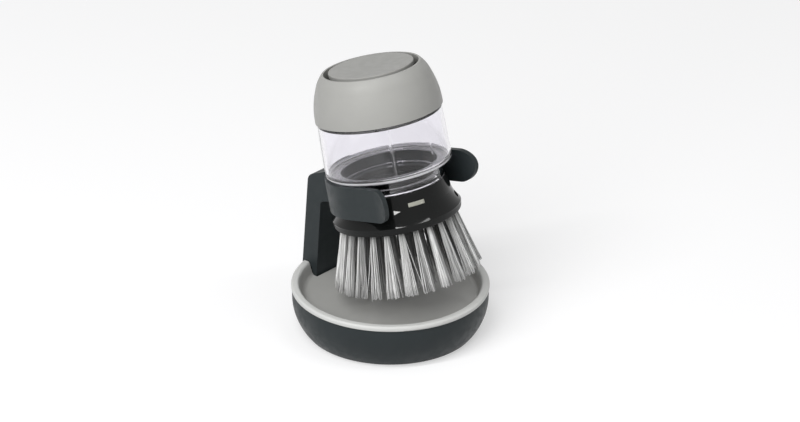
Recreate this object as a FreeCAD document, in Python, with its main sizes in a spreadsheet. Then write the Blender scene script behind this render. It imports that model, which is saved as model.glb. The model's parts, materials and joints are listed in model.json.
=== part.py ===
"""Palm dish brush with a soap tank, resting in the fork of a drip-tray holder. Lengths are millimetres.

The origin is on the ground at the centre of the holder's foot and +Z is up. The holder's arm stands on the
-X side and its fork opens towards +X. The pieces of the brush are drawn upright in a frame of their own, with
the underside of the tank at zero, and are then leaned back into the fork.
"""
import FreeCAD, Part
import math
import os
from types import SimpleNamespace

import Sketcher

Vector = FreeCAD.Vector
DOC = FreeCAD.newDocument("dish_brush")

DRIVING_SIZES = {
    # Holder: pad, base and drip tray
    "pad_screw_gap": 1.0,
    "pad_thickness": 1.6,
    "pad_proud": 0.8,
    "base_rim_radius": 49.3,
    "base_height": 22.4,
    "base_wall": 2.2,
    "base_floor": 1.8,
    "foot_inset": 6.0,
    "belly_inset": 1.7,
    "belly_height": 7.2,
    "lip_overhang": 0.7,
    "lip_width": 3.7,
    "lip_height": 2.6,
    "lip_round": 1.2,
    "tray_depth": 6.5,
    "tray_floor": 1.6,
    "tray_wall": 1.5,
    "dish_taper": 1.6,
    "dish_round": 2.0,
    # Holder: arm and fork
    "arm_width": 23.2,
    "arm_depth": 9.5,
    "arm_top_depth": 8.4,
    "arm_lean_in": 4.6,
    "arm_inset": 0.4,
    "arm_shoulder_drop": 8.0,
    "arm_shoulder_round": 5.0,
    "arch_drop": 4.0,
    "arch_round": 2.5,
    "arm_foot_height": 6.0,
    "arm_foot_reach": 11.0,
    "tenon_set": 4.1,
    "bridge_length": 6.0,
    "prong_wall": 2.8,
    "prong_reach": 27.0,
    "prong_flare": 2.6,
    "prong_flare_length": 9.0,
    "fork_reach_below_waist": 1.4,
    # Arm screws
    "arm_screw_spread": 6.5,
    "arm_screw_head_radius": 2.8,
    "arm_screw_head_height": 1.8,
    "arm_screw_radius": 1.5,
    "arm_screw_grip": 4.4,
    "screw_boss_radius": 3.6,
    "screw_seat": 5.0,
    # Brush pose
    "brush_lean": 13.3,
    "tip_clearance": 5.8,
    # Soap tank
    "tank_radius": 31.9,
    "tank_taper": 0.8,
    "tank_height": 27.9,
    "tank_wall": 1.8,
    "tank_floor": 1.2,
    "tank_round": 2.0,
    "neck_inset": 3.1,
    "neck_height": 8.6,
    "neck_wall": 1.8,
    "shoulder_wall": 1.0,
    "shoulder_slope": 0.4,
    "collar_radius": 26.6,
    "collar_wall": 2.4,
    "collar_drop": 7.4,
    "spigot_inset": 2.6,
    "spigot_wall": 2.2,
    "spigot_drop": 7.2,
    # Screw threads of cap and head
    "thread_pitch": 3.0,
    "ridge_height": 0.9,
    "ridge_root": 1.1,
    "ridge_crest": 0.5,
    "ridge_length": 3.2,
    "thread_lead_in": 0.6,
    # Cap
    "gasket_thickness": 0.6,
    "gasket_inset": 0.1,
    "gasket_width": 1.9,
    "cap_overhang": 0.8,
    "cap_height": 23.0,
    "cap_lip": 1.0,
    "cap_cavity_step": 3.0,
    "well_depth": 10.5,
    "deck_thickness": 1.8,
    "bush_radius": 5.0,
    "air_hole_radius": 1.2,
    "air_hole_ring_radius": 12.0,
    "bush_drop": 2.0,
    # Button, bellows and spring
    "button_radius": 21.3,
    "button_gap": 2.5,
    "button_thickness": 2.1,
    "button_dish": 0.5,
    "button_edge_round": 0.5,
    "button_edge_land": 0.9,
    "button_proud": 0.7,
    "stem_radius": 2.6,
    "stop_washer_radius": 4.6,
    "stop_washer_thickness": 1.0,
    "stop_screw_radius": 1.1,
    "stop_screw_length": 6.0,
    "stop_screw_head_radius": 2.3,
    "stop_screw_head_height": 1.3,
    "bellows_wall": 1.0,
    "bellows_flange": 1.4,
    "bellows_crown_inset": 3.4,
    "bellows_root_inset": 0.9,
    "clamp_ring_height": 1.3,
    "spring_radius": 6.2,
    "spring_wire": 0.7,
    # Brush head, valve and bristles
    "head_wall": 2.0,
    "head_height": 18.4,
    "head_floor": 2.6,
    "head_edge_round": 0.5,
    "cone_height": 8.0,
    "cone_flare": 1.6,
    "rim_flare": 3.6,
    "rim_height": 3.6,
    "rim_taper": 0.5,
    "rim_round": 1.0,
    "rim_wall": 2.2,
    "snap_slot_turn": 42.7,
    "snap_slot_drop": 3.9,
    "snap_slot_depth": 3.3,
    "snap_slot_width": 6.0,
    "snap_slot_height": 2.8,
    "snap_slot_round": 1.2,
    "seal_thickness": 1.0,
    "seal_width": 2.0,
    "outlet_radius": 5.0,
    "valve_wall": 0.9,
    "valve_flange": 1.4,
    "valve_flange_width": 2.6,
    "valve_slit_width": 0.4,
    "valve_slit_length": 5.0,
    "valve_retainer_height": 2.0,
    "valve_cup_wall": 1.4,
    "block_thickness": 4.2,
    "block_outlet_step": 1.5,
    "tuft_hole_depth": 3.2,
    "tuft_root_radius": 1.4,
    "tuft_drop": 30.7,
    "outer_ring_radius": 27.6,
    "outer_tip_radius": 3.1,
    "middle_ring_radius": 20.4,
    "middle_tip_radius": 2.9,
    "inner_ring_radius": 13.2,
    "inner_tip_radius": 2.7,
    "anchor_width": 2.2,
    "anchor_height": 1.6,
    "anchor_thickness": 0.35,
    # Clearances and cuts
    "seat_gap": 0.1,
    "slip_gap": 0.3,
    "running_gap": 0.06,
    "fork_gap": 0.9,
    "cut_overrun": 2.0,
}

# Outline of the cap between its lip and its widest circle: share of the radius step, share of the height
CAP_SIDE_SHARES = ((0.96, 0.24), (0.58, 0.70), (0.33, 0.87))
# Outline of the head's flare: share of the radius step, share of the height
FLARE_SHARES = (0.42, 0.56)
# Smaller shares: rounding under the tray's lip, sunk part of a thread ridge, bend half-way along a prong's
# flare, hollow half-way across the button, and trim of a tuft's tip
LIP_UNDER_SHARE = 0.6
RIDGE_SUNK_SHARE = 1 / 3
FLARE_BEND_SHARE = 0.25
DISH_BEND_SHARE = 0.75
TUFT_TRIM_SHARE = 1 / 3

AIR_HOLE_COUNT = 6
SNAP_SLOT_COUNT = 2
SPRING_TURNS = 4
SPRING_STEPS_PER_TURN = 4
# Each ring of tufts: how many tufts stand in it, and how far they splay outwards, in degrees
OUTER_TUFT_COUNT = 24
MIDDLE_TUFT_COUNT = 18
INNER_TUFT_COUNT = 11
RING_COUNTS = {"outer": OUTER_TUFT_COUNT, "middle": MIDDLE_TUFT_COUNT, "inner": INNER_TUFT_COUNT}
RING_SPLAYS = {"outer": 14.8, "middle": 9.5, "inner": 5.0}


class Size:
    """A number together with the sheet expression that it comes from."""

    def __init__(self, value, text):
        self.value = value
        self.text = text

    def __add__(self, other):
        other = as_size(other)
        return Size(self.value + other.value, f"({self.text} + {other.text})")

    def __sub__(self, other):
        other = as_size(other)
        return Size(self.value - other.value, f"({self.text} - {other.text})")

    def __mul__(self, other):
        other = as_size(other)
        return Size(self.value * other.value, f"({self.text} * {other.text})")

    def __truediv__(self, other):
        other = as_size(other)
        return Size(self.value / other.value, f"({self.text} / {other.text})")

    def __neg__(self):
        return Size(-self.value, f"(0 - {self.text})")

    __radd__ = __add__
    __rmul__ = __mul__


def as_size(number):
    return number if isinstance(number, Size) else Size(float(number), repr(float(number)))


def make_sheet():
    """Writes the driving sizes into the sheet and gives them back as Size values."""
    sheet = DOC.addObject("Spreadsheet::Sheet", "Sizes")
    for row, (name, value) in enumerate(DRIVING_SIZES.items(), start=1):
        sheet.set(f"A{row}", name)
        sheet.set(f"B{row}", str(value))
        sheet.setAlias(f"B{row}", name)
    DOC.recompute()
    return SimpleNamespace(**{name: Size(value, f"Sizes.{name}") for name, value in DRIVING_SIZES.items()})


S = make_sheet()
LEAN_COS = Size(math.cos(math.radians(S.brush_lean.value)), f"cos({S.brush_lean.text})")
LEAN_SIN = Size(math.sin(math.radians(S.brush_lean.value)), f"sin({S.brush_lean.text})")
SLOT_COS = Size(math.cos(math.radians(S.snap_slot_turn.value)), f"cos({S.snap_slot_turn.text})")
SLOT_SIN = Size(math.sin(math.radians(S.snap_slot_turn.value)), f"sin({S.snap_slot_turn.text})")


def corner(x, y, rounding=None):
    return SimpleNamespace(x=as_size(x), y=as_size(y), rounding=rounding, via=None)


def through(x, y, via):
    """A corner that is left along an arc through the point via."""
    return SimpleNamespace(x=as_size(x), y=as_size(y), rounding=None, via=[as_size(v) for v in via])


def point_of(item):
    return Vector(item.x.value, item.y.value, 0)


def bind(holder, path, size):
    holder.setExpression(path, size.text)


def fix_point(sketch, geometry, end, x, y):
    """Ties a point of the sketch to its two coordinates."""
    for kind, axis, size in (("DistanceX", -2, x), ("DistanceY", -1, y)):
        if size.value == 0:
            sketch.addConstraint(Sketcher.Constraint("PointOnObject", geometry, end, axis))
        else:
            index = sketch.addConstraint(Sketcher.Constraint(kind, -1, 1, geometry, end, size.value))
            bind(sketch, f"Constraints[{index}]", size)


def add_arc(sketch, start, middle, end):
    """Adds an arc through three points; gives its index and which of its ends is the start."""
    circle = Part.Circle(start, middle, end)
    centre = circle.Center
    turn = (middle - start).cross(end - middle).z
    first, last = (start, end) if turn > 0 else (end, start)
    first_angle = math.atan2(first.y - centre.y, first.x - centre.x)
    last_angle = math.atan2(last.y - centre.y, last.x - centre.x)
    if last_angle < first_angle:
        last_angle += 2 * math.pi
    base = Part.Circle(centre, Vector(0, 0, 1), circle.Radius)
    index = sketch.addGeometry(Part.ArcOfCircle(base, first_angle, last_angle), False)
    return index, (1, 2) if turn > 0 else (2, 1)


def corner_cut(before, here, after, radius):
    """The two ends and the middle of the arc that rounds a corner."""
    to_before = (before - here).normalize()
    to_after = (after - here).normalize()
    half = to_before.getAngle(to_after) / 2
    run = radius / math.tan(half)
    middle_way = (to_before + to_after).normalize()
    middle = here + middle_way * (radius / math.sin(half) - radius)
    return here + to_before * run, middle, here + to_after * run


def draw(sketch, items):
    """Draws a closed outline through the corners and binds each coordinate and radius to the sheet."""
    count = len(items)
    points = [point_of(item) for item in items]
    cuts = {}
    for i, item in enumerate(items):
        if item.rounding is not None:
            cuts[i] = corner_cut(points[i - 1], points[i], points[(i + 1) % count], item.rounding.value)
    edges = []
    for i, item in enumerate(items):
        j = (i + 1) % count
        start = cuts[i][2] if i in cuts else points[i]
        end = cuts[j][0] if j in cuts else points[j]
        if item.via:
            middle = Vector(item.via[0].value, item.via[1].value, 0)
            edges.append(add_arc(sketch, start, middle, end))
        else:
            edges.append((sketch.addGeometry(Part.LineSegment(start, end), False), (1, 2)))
    for i, item in enumerate(items):
        before, before_ends = edges[i - 1]
        after, after_ends = edges[i]
        if item.rounding is None:
            sketch.addConstraint(Sketcher.Constraint("Coincident", before, before_ends[1], after, after_ends[0]))
            fix_point(sketch, after, after_ends[0], item.x, item.y)
        else:
            arc, arc_ends = add_arc(sketch, *cuts[i])
            sketch.addConstraint(Sketcher.Constraint("Tangent", before, before_ends[1], arc, arc_ends[0]))
            sketch.addConstraint(Sketcher.Constraint("Tangent", arc, arc_ends[1], after, after_ends[0]))
            index = sketch.addConstraint(Sketcher.Constraint("Radius", arc, item.rounding.value))
            bind(sketch, f"Constraints[{index}]", item.rounding)
            tip = sketch.addGeometry(Part.Point(points[i]), True)
            fix_point(sketch, tip, 1, item.x, item.y)
            sketch.addConstraint(Sketcher.Constraint("PointOnObject", tip, 1, before))
            sketch.addConstraint(Sketcher.Constraint("PointOnObject", tip, 1, after))
        if item.via:
            mark = sketch.addGeometry(Part.Point(Vector(item.via[0].value, item.via[1].value, 0)), True)
            fix_point(sketch, mark, 1, *item.via)
            sketch.addConstraint(Sketcher.Constraint("PointOnObject", mark, 1, after))


def draw_circle(sketch, x, y, radius):
    centre = Vector(as_size(x).value, as_size(y).value, 0)
    circle = sketch.addGeometry(Part.Circle(centre, Vector(0, 0, 1), radius.value), False)
    fix_point(sketch, circle, 3, as_size(x), as_size(y))
    index = sketch.addConstraint(Sketcher.Constraint("Radius", circle, radius.value))
    bind(sketch, f"Constraints[{index}]", radius)


def origin_feature(body, role):
    return next(feature for feature in body.Origin.OriginFeatures if feature.Role == role)


def new_body(label):
    body = DOC.addObject("PartDesign::Body", label)
    body.Label = label
    return body


def new_sketch(body, plane, name):
    sketch = body.newObject("Sketcher::SketchObject", f"{body.Label}_{name}")
    sketch.AttachmentSupport = (origin_feature(body, plane), [""])
    sketch.MapMode = "FlatFace"
    return sketch


def set_offset(sketch, x, y, z, axis=Vector(0, 0, 1), angle=None):
    """Moves a sketch off its plane by bound lengths, and turns it by a bound angle."""
    degrees = angle.value if angle else 0
    base = Vector(as_size(x).value, as_size(y).value, as_size(z).value)
    sketch.AttachmentOffset = FreeCAD.Placement(base, FreeCAD.Rotation(axis, degrees))
    for letter, size in zip("xyz", (x, y, z)):
        bind(sketch, f"AttachmentOffset.Base.{letter}", as_size(size))
    if angle:
        sketch.setExpression("AttachmentOffset.Rotation.Angle", f"{angle.text} * 1 deg")


def revolve(body, items, name="profile"):
    sketch = new_sketch(body, "XZ_Plane", name)
    draw(sketch, items)
    feature = body.newObject("PartDesign::Revolution", f"{body.Label}_{name}_turned")
    feature.Profile = sketch
    feature.ReferenceAxis = (origin_feature(body, "Z_Axis"), [""])
    feature.Angle = 360
    sketch.Visibility = False
    DOC.recompute()
    return feature


def pad(body, sketch, length, both_ways=False, backwards=False):
    feature = body.newObject("PartDesign::Pad", f"{sketch.Name}_pad")
    feature.Profile = sketch
    feature.Length = length.value
    bind(feature, "Length", length)
    feature.Midplane = both_ways
    feature.Reversed = backwards
    DOC.recompute()
    return feature


def pocket(body, sketch, length, both_ways=False, backwards=False):
    """Cuts a sketch into the body and makes sure that it took something away."""
    before = body.Shape.Volume
    feature = body.newObject("PartDesign::Pocket", f"{sketch.Name}_cut")
    feature.Profile = sketch
    feature.Length = length.value
    bind(feature, "Length", length)
    feature.Midplane = both_ways
    feature.Reversed = backwards
    DOC.recompute()
    if feature.Shape.Volume >= before:
        raise RuntimeError(f"{feature.Name} cuts nothing")
    return feature


def around(body, feature, count):
    """Repeats a feature evenly round the body's own axis."""
    pattern = body.newObject("PartDesign::PolarPattern", f"{feature.Name}_ring")
    pattern.Originals = [feature]
    pattern.Axis = (origin_feature(body, "Z_Axis"), [""])
    pattern.Angle = 360
    pattern.Occurrences = count
    body.Tip = pattern
    DOC.recompute()
    return pattern


def thread_ridge(body, wall, rise, start, name):
    """Winds a ridge on a round wall: rise is outwards when positive and inwards when negative."""
    sketch = new_sketch(body, "XZ_Plane", name)
    root = wall - rise * RIDGE_SUNK_SHARE
    crest = wall + rise
    slope = (S.ridge_root - S.ridge_crest) / 2
    draw(sketch, [
        corner(root, start),
        corner(crest, start + slope),
        corner(crest, start + slope + S.ridge_crest),
        corner(root, start + S.ridge_root),
    ])
    ridge = body.newObject("PartDesign::AdditiveHelix", f"{body.Label}_{name}_ridge")
    ridge.Profile = sketch
    ridge.ReferenceAxis = (origin_feature(body, "Z_Axis"), [""])
    ridge.Mode = "pitch-height-angle"
    ridge.Pitch = S.thread_pitch.value
    ridge.Height = S.ridge_length.value
    bind(ridge, "Pitch", S.thread_pitch)
    bind(ridge, "Height", S.ridge_length)
    body.Tip = ridge
    DOC.recompute()
    return ridge


# Places of the holder
LIP_RADIUS = S.base_rim_radius + S.lip_overhang
LIP_LOW = S.base_height + S.seat_gap
LIP_TOP = LIP_LOW + S.lip_height
TRAY_FLOOR_TOP = LIP_TOP - S.tray_depth
TRAY_UNDERSIDE = TRAY_FLOOR_TOP - S.tray_floor
FLOOR_TOP = S.pad_thickness + S.base_floor
DISH_TOP_RADIUS = S.base_rim_radius - S.base_wall - S.slip_gap
DISH_LOW_RADIUS = DISH_TOP_RADIUS - S.dish_taper
ARM_OUT = S.arm_inset - LIP_RADIUS
ARM_INNER_LOW = ARM_OUT + S.arm_depth
ARM_OUT_TOP = ARM_OUT + S.arm_lean_in
ARM_INNER_TOP = ARM_OUT_TOP + S.arm_top_depth
ARM_FOOT_TOP = TRAY_UNDERSIDE - S.slip_gap
ARM_FOOT_LOW = ARM_FOOT_TOP - S.arm_foot_height
ARM_FOOT_IN = ARM_INNER_LOW + S.arm_foot_reach
TENON_OUT = S.base_wall + S.tenon_set - S.base_rim_radius
ARM_SCREW_X = (ARM_INNER_LOW + ARM_FOOT_IN) / 2
SCREW_SEAT = ARM_FOOT_LOW - S.screw_seat
SCREW_LOW = SCREW_SEAT - S.arm_screw_head_height
PAD_RADIUS = -(ARM_SCREW_X + S.arm_screw_head_radius + S.pad_screw_gap)

# Places of the brush, along its own axis from the underside of the tank
TANK_TOP_RADIUS = S.tank_radius - S.tank_taper
NECK_RADIUS = TANK_TOP_RADIUS - S.neck_inset
NECK_TOP = S.tank_height + S.neck_height
SPIGOT_RADIUS = S.collar_radius - S.spigot_inset
SPIGOT_LOW = -(S.collar_drop + S.spigot_drop)
CAP_LOW = S.tank_height + S.gasket_thickness
CAP_TOP = CAP_LOW + S.cap_height
CAP_RADIUS = TANK_TOP_RADIUS + S.cap_overhang
CAP_BORE = NECK_RADIUS + S.ridge_height + S.slip_gap
CAP_CAVITY = CAP_BORE - S.cap_cavity_step
WELL_RADIUS = S.button_radius + S.button_gap
DECK_TOP = CAP_TOP - S.well_depth
DECK_LOW = DECK_TOP - S.deck_thickness
BUSH_LOW = DECK_LOW - S.bush_drop
BUTTON_TOP = CAP_TOP + S.button_proud
BUTTON_LOW = BUTTON_TOP - S.button_thickness
FLANGE_TOP = DECK_TOP + S.bellows_flange
HEAD_TOP = -(S.collar_drop + S.slip_gap)
HEAD_LOW = HEAD_TOP - S.head_height
HEAD_BORE = SPIGOT_RADIUS + S.ridge_height + S.slip_gap
HEAD_TOP_RADIUS = HEAD_BORE + S.head_wall
WAIST = HEAD_TOP - S.cone_height
WAIST_RADIUS = HEAD_TOP_RADIUS + S.cone_flare
RIM_RADIUS = WAIST_RADIUS + S.rim_flare
RIM_TOP = HEAD_LOW + S.rim_height
BLOCK_TOP = HEAD_LOW + S.block_thickness
BLOCK_RECESS = RIM_RADIUS - S.rim_wall
HEAD_FLOOR_TOP = BLOCK_TOP + S.head_floor
SEAL_LOW = SPIGOT_LOW - S.seal_thickness
VALVE_RADIUS = S.outlet_radius + S.valve_flange_width
VALVE_CUP = VALVE_RADIUS + S.slip_gap
VALVE_CUP_TOP = HEAD_FLOOR_TOP + S.valve_flange + S.valve_retainer_height
BLOCK_OUTLET = S.outlet_radius + S.block_outlet_step
FORK_TOP = -S.slip_gap
FORK_LOW = WAIST - S.fork_reach_below_waist
FORK_INNER = WAIST_RADIUS + S.fork_gap
FORK_OUTER = FORK_INNER + S.prong_wall
FORK_BACK = S.prong_wall - FORK_INNER
SEAL_INNER = SPIGOT_RADIUS - S.seal_width
RING_RADII = {"outer": S.outer_ring_radius, "middle": S.middle_ring_radius, "inner": S.inner_ring_radius}
TIP_RADII = {"outer": S.outer_tip_radius, "middle": S.middle_tip_radius, "inner": S.inner_tip_radius}

# Where the brush stands: its tank's underside on the axis, set back against the arm and up from the tray
OUTER_SPLAY = math.radians(RING_SPLAYS["outer"])
TIP_RADIUS = S.outer_ring_radius + S.tuft_drop * math.tan(OUTER_SPLAY) + S.outer_tip_radius
TIP_DROP = S.tuft_drop - HEAD_LOW
BRUSH_X = ARM_INNER_TOP + S.bridge_length + FORK_OUTER * LEAN_COS + (FORK_TOP + FORK_LOW) / 2 * LEAN_SIN
BRUSH_Z = TRAY_FLOOR_TOP + S.tip_clearance + TIP_DROP * LEAN_COS + TIP_RADIUS * LEAN_SIN


def in_holder(x, along):
    """A point of the brush's middle plane, given across and along the brush's axis, in the holder's frame."""
    return BRUSH_X + x * LEAN_COS - along * LEAN_SIN, BRUSH_Z + x * LEAN_SIN + along * LEAN_COS


def lean_back(item):
    """Stands a piece of the brush in the fork."""
    turn = FreeCAD.Rotation(Vector(0, -1, 0), S.brush_lean.value)
    item.Placement = FreeCAD.Placement(Vector(BRUSH_X.value, 0, BRUSH_Z.value), turn)
    bind(item, "Placement.Base.x", BRUSH_X)
    bind(item, "Placement.Base.z", BRUSH_Z)
    item.setExpression("Placement.Rotation.Angle", f"{S.brush_lean.text} * 1 deg")
    return item


def ring_items(inner, outer, low, high):
    return [corner(inner, low), corner(outer, low), corner(outer, high), corner(inner, high)]


def make_base_pad():
    body = new_body("base_pad")
    revolve(body, ring_items(0, PAD_RADIUS, 0, S.pad_thickness))
    return body


def make_stand_base():
    """Bowl-shaped base with a recess for its pad and two bosses under the arm's foot."""
    body = new_body("stand_base")
    foot = S.base_rim_radius - S.foot_inset
    belly = S.base_rim_radius - S.belly_inset
    belly_z = S.pad_proud + S.belly_height
    recess = PAD_RADIUS + S.slip_gap
    inner_rim = S.base_rim_radius - S.base_wall
    revolve(body, [
        corner(0, S.pad_thickness),
        corner(recess, S.pad_thickness),
        corner(recess, S.pad_proud),
        through(foot, S.pad_proud, (belly, belly_z)),
        corner(S.base_rim_radius, S.base_height),
        through(inner_rim, S.base_height, (belly - S.base_wall, belly_z)),
        corner(foot - S.base_wall, FLOOR_TOP),
        corner(0, FLOOR_TOP),
    ])
    bosses = new_sketch(body, "XY_Plane", "bosses")
    set_offset(bosses, 0, 0, FLOOR_TOP - S.base_floor / 2)
    holes = new_sketch(body, "XY_Plane", "holes")
    heads = new_sketch(body, "XY_Plane", "heads")
    set_offset(heads, 0, 0, SCREW_SEAT)
    for side in (S.arm_screw_spread, -S.arm_screw_spread):
        draw_circle(bosses, ARM_SCREW_X, side, S.screw_boss_radius)
        draw_circle(holes, ARM_SCREW_X, side, S.arm_screw_radius + S.seat_gap)
        draw_circle(heads, ARM_SCREW_X, side, S.arm_screw_head_radius + S.seat_gap)
    pad(body, bosses, ARM_FOOT_LOW - FLOOR_TOP + S.base_floor / 2)
    pocket(body, holes, ARM_FOOT_LOW + S.cut_overrun, backwards=True)
    body.Tip = pocket(body, heads, SCREW_SEAT + S.cut_overrun)
    return body


def make_drip_tray():
    """Dish with a rounded lip on the base's rim, notched where the arm passes."""
    body = new_body("drip_tray")
    revolve(body, [
        corner(0, TRAY_UNDERSIDE),
        corner(DISH_LOW_RADIUS, TRAY_UNDERSIDE, S.dish_round),
        corner(DISH_TOP_RADIUS, LIP_LOW),
        corner(LIP_RADIUS, LIP_LOW, S.lip_round * LIP_UNDER_SHARE),
        corner(LIP_RADIUS, LIP_TOP, S.lip_round),
        corner(LIP_RADIUS - S.lip_width, LIP_TOP, S.lip_round),
        corner(DISH_LOW_RADIUS - S.tray_wall, TRAY_FLOOR_TOP, S.dish_round),
        corner(0, TRAY_FLOOR_TOP),
    ])
    arch_z = in_holder(FORK_BACK, FORK_LOW)[1] - S.arch_drop
    climb = (LIP_TOP - ARM_FOOT_TOP) / (arch_z - ARM_FOOT_TOP)
    edge = ARM_INNER_LOW + (ARM_INNER_TOP - ARM_INNER_LOW) * climb + S.slip_gap
    side = S.arm_width / 2 + S.slip_gap
    outside = -(LIP_RADIUS + S.cut_overrun)
    notch = new_sketch(body, "XY_Plane", "notch")
    draw(notch, [corner(outside, -side), corner(edge, -side), corner(edge, side), corner(outside, side)])
    body.Tip = pocket(body, notch, LIP_TOP + S.cut_overrun, backwards=True)
    return body


def prong_outline(half_gap, half_outer):
    """Plan of the fork: a half ring with two straight prongs that flare a little at their ends."""
    straight = S.prong_reach - S.prong_flare_length
    bend = S.prong_reach - S.prong_flare_length / 2
    bend_out = S.prong_flare * FLARE_BEND_SHARE
    return [
        corner(0, half_outer),
        through(straight, half_outer, (bend, half_outer + bend_out)),
        corner(S.prong_reach, half_outer + S.prong_flare),
        through(S.prong_reach, half_gap + S.prong_flare, (bend, half_gap + bend_out)),
        corner(straight, half_gap),
        through(0, half_gap, (-half_gap, 0)),
        corner(0, -half_gap),
        through(straight, -half_gap, (bend, -(half_gap + bend_out))),
        corner(S.prong_reach, -(half_gap + S.prong_flare)),
        through(S.prong_reach, -(half_outer + S.prong_flare), (bend, -(half_outer + bend_out))),
        corner(straight, -half_outer),
        through(0, -half_outer, (-half_outer, 0)),
    ]


def make_holder_arm():
    """Upright with a foot under the tray and the two-prong fork at its top, in one moulding."""
    body = new_body("holder_arm")
    back_top = in_holder(FORK_BACK, FORK_TOP)
    back_low = in_holder(FORK_BACK, FORK_LOW)
    arm = new_sketch(body, "XZ_Plane", "side")
    draw(arm, [
        corner(ARM_OUT, LIP_LOW),
        corner(ARM_OUT_TOP, back_top[1] - S.arm_shoulder_drop, S.arm_shoulder_round),
        corner(*back_top),
        corner(*back_low),
        corner(ARM_INNER_TOP, back_low[1] - S.arch_drop, S.arch_round),
        corner(ARM_INNER_LOW, ARM_FOOT_TOP),
        corner(ARM_FOOT_IN, ARM_FOOT_TOP),
        corner(ARM_FOOT_IN, ARM_FOOT_LOW),
        corner(TENON_OUT, ARM_FOOT_LOW),
        corner(TENON_OUT, LIP_LOW),
    ])
    pad(body, arm, S.arm_width, both_ways=True)
    tilt = Vector(0, -1, 0)
    fork = new_sketch(body, "XY_Plane", "fork")
    low_x, low_z = in_holder(as_size(0), FORK_LOW)
    set_offset(fork, low_x, 0, low_z, tilt, S.brush_lean)
    draw(fork, prong_outline(FORK_INNER, FORK_OUTER))
    pad(body, fork, FORK_TOP - FORK_LOW)
    gap = new_sketch(body, "XY_Plane", "gap")
    set_offset(gap, low_x, 0, low_z, tilt, S.brush_lean)
    draw(gap, [
        through(0, FORK_INNER, (-FORK_INNER, 0)),
        corner(0, -FORK_INNER),
    ])
    pocket(body, gap, (FORK_TOP - FORK_LOW) * 2 + S.cut_overrun * 2, both_ways=True)
    half = (FORK_TOP - FORK_LOW) / 2
    ends = new_sketch(body, "XZ_Plane", "ends")
    set_offset(ends, BRUSH_X, BRUSH_Z, 0, Vector(0, 0, 1), S.brush_lean)
    beyond = S.prong_reach + S.cut_overrun
    draw(ends, [
        corner(S.prong_reach - half, FORK_TOP + S.cut_overrun),
        corner(beyond, FORK_TOP + S.cut_overrun),
        corner(beyond, FORK_LOW - S.cut_overrun),
        corner(S.prong_reach - half, FORK_LOW - S.cut_overrun),
        through(S.prong_reach - half, FORK_LOW, (S.prong_reach, FORK_LOW + half)),
        corner(S.prong_reach - half, FORK_TOP),
    ])
    pocket(body, ends, (FORK_OUTER + S.prong_flare + S.cut_overrun) * 2, both_ways=True)
    pilots = new_sketch(body, "XY_Plane", "pilots")
    set_offset(pilots, 0, 0, ARM_FOOT_LOW)
    for side in (S.arm_screw_spread, -S.arm_screw_spread):
        draw_circle(pilots, ARM_SCREW_X, side, S.arm_screw_radius + S.running_gap)
    body.Tip = pocket(body, pilots, S.arm_screw_grip, backwards=True)
    return body


def make_arm_screws():
    """Two screws that come up through the base into the arm's foot."""
    screws = []
    for name, side in (("near", -S.arm_screw_spread), ("far", S.arm_screw_spread)):
        head = DOC.addObject("Part::Cylinder", f"arm_screw_head_{name}")
        shank = DOC.addObject("Part::Cylinder", f"arm_screw_shank_{name}")
        bind(head, "Radius", S.arm_screw_head_radius)
        bind(head, "Height", S.arm_screw_head_height)
        bind(shank, "Radius", S.arm_screw_radius)
        bind(shank, "Height", ARM_FOOT_LOW + S.arm_screw_grip - SCREW_LOW)
        for cylinder in (head, shank):
            bind(cylinder, "Placement.Base.x", ARM_SCREW_X)
            bind(cylinder, "Placement.Base.y", side)
            bind(cylinder, "Placement.Base.z", SCREW_LOW)
        screw = DOC.addObject("Part::Fuse", f"arm_screw_{name}")
        screw.Base = head
        screw.Tool = shank
        screws.append(screw)
    group = DOC.addObject("Part::Compound", "arm_screws")
    group.Links = screws
    return group


def make_tank():
    """Clear tank: floor with a collar and a threaded spigot below, threaded neck for the cap above."""
    body = new_body("tank")
    spigot_bore = SPIGOT_RADIUS - S.spigot_wall
    collar_bore = S.collar_radius - S.collar_wall
    neck_bore = NECK_RADIUS - S.neck_wall
    shoulder_low = S.tank_height - S.shoulder_wall
    revolve(body, [
        corner(spigot_bore, SPIGOT_LOW),
        corner(SPIGOT_RADIUS, SPIGOT_LOW),
        corner(SPIGOT_RADIUS, -S.collar_drop),
        corner(S.collar_radius, -S.collar_drop),
        corner(S.collar_radius, 0),
        corner(S.tank_radius, 0, S.tank_round),
        corner(TANK_TOP_RADIUS, S.tank_height),
        corner(NECK_RADIUS, S.tank_height),
        corner(NECK_RADIUS, NECK_TOP),
        corner(neck_bore, NECK_TOP),
        corner(neck_bore, shoulder_low),
        corner(TANK_TOP_RADIUS - S.tank_wall, shoulder_low - S.shoulder_slope),
        corner(S.tank_radius - S.tank_wall, S.tank_floor, S.tank_round),
        corner(collar_bore, S.tank_floor),
        corner(collar_bore, S.collar_wall - S.collar_drop),
        corner(spigot_bore, S.collar_wall - S.collar_drop),
    ])
    thread_ridge(body, NECK_RADIUS, S.ridge_height, S.tank_height + S.thread_lead_in, "neck_thread")
    thread_ridge(body, SPIGOT_RADIUS, S.ridge_height, SPIGOT_LOW + S.thread_lead_in, "spigot_thread")
    return lean_back(body)


def make_cap_gasket():
    body = new_body("cap_gasket")
    outer = TANK_TOP_RADIUS - S.gasket_inset
    revolve(body, ring_items(outer - S.gasket_width, outer, S.tank_height, CAP_LOW))
    return lean_back(body)


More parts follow.
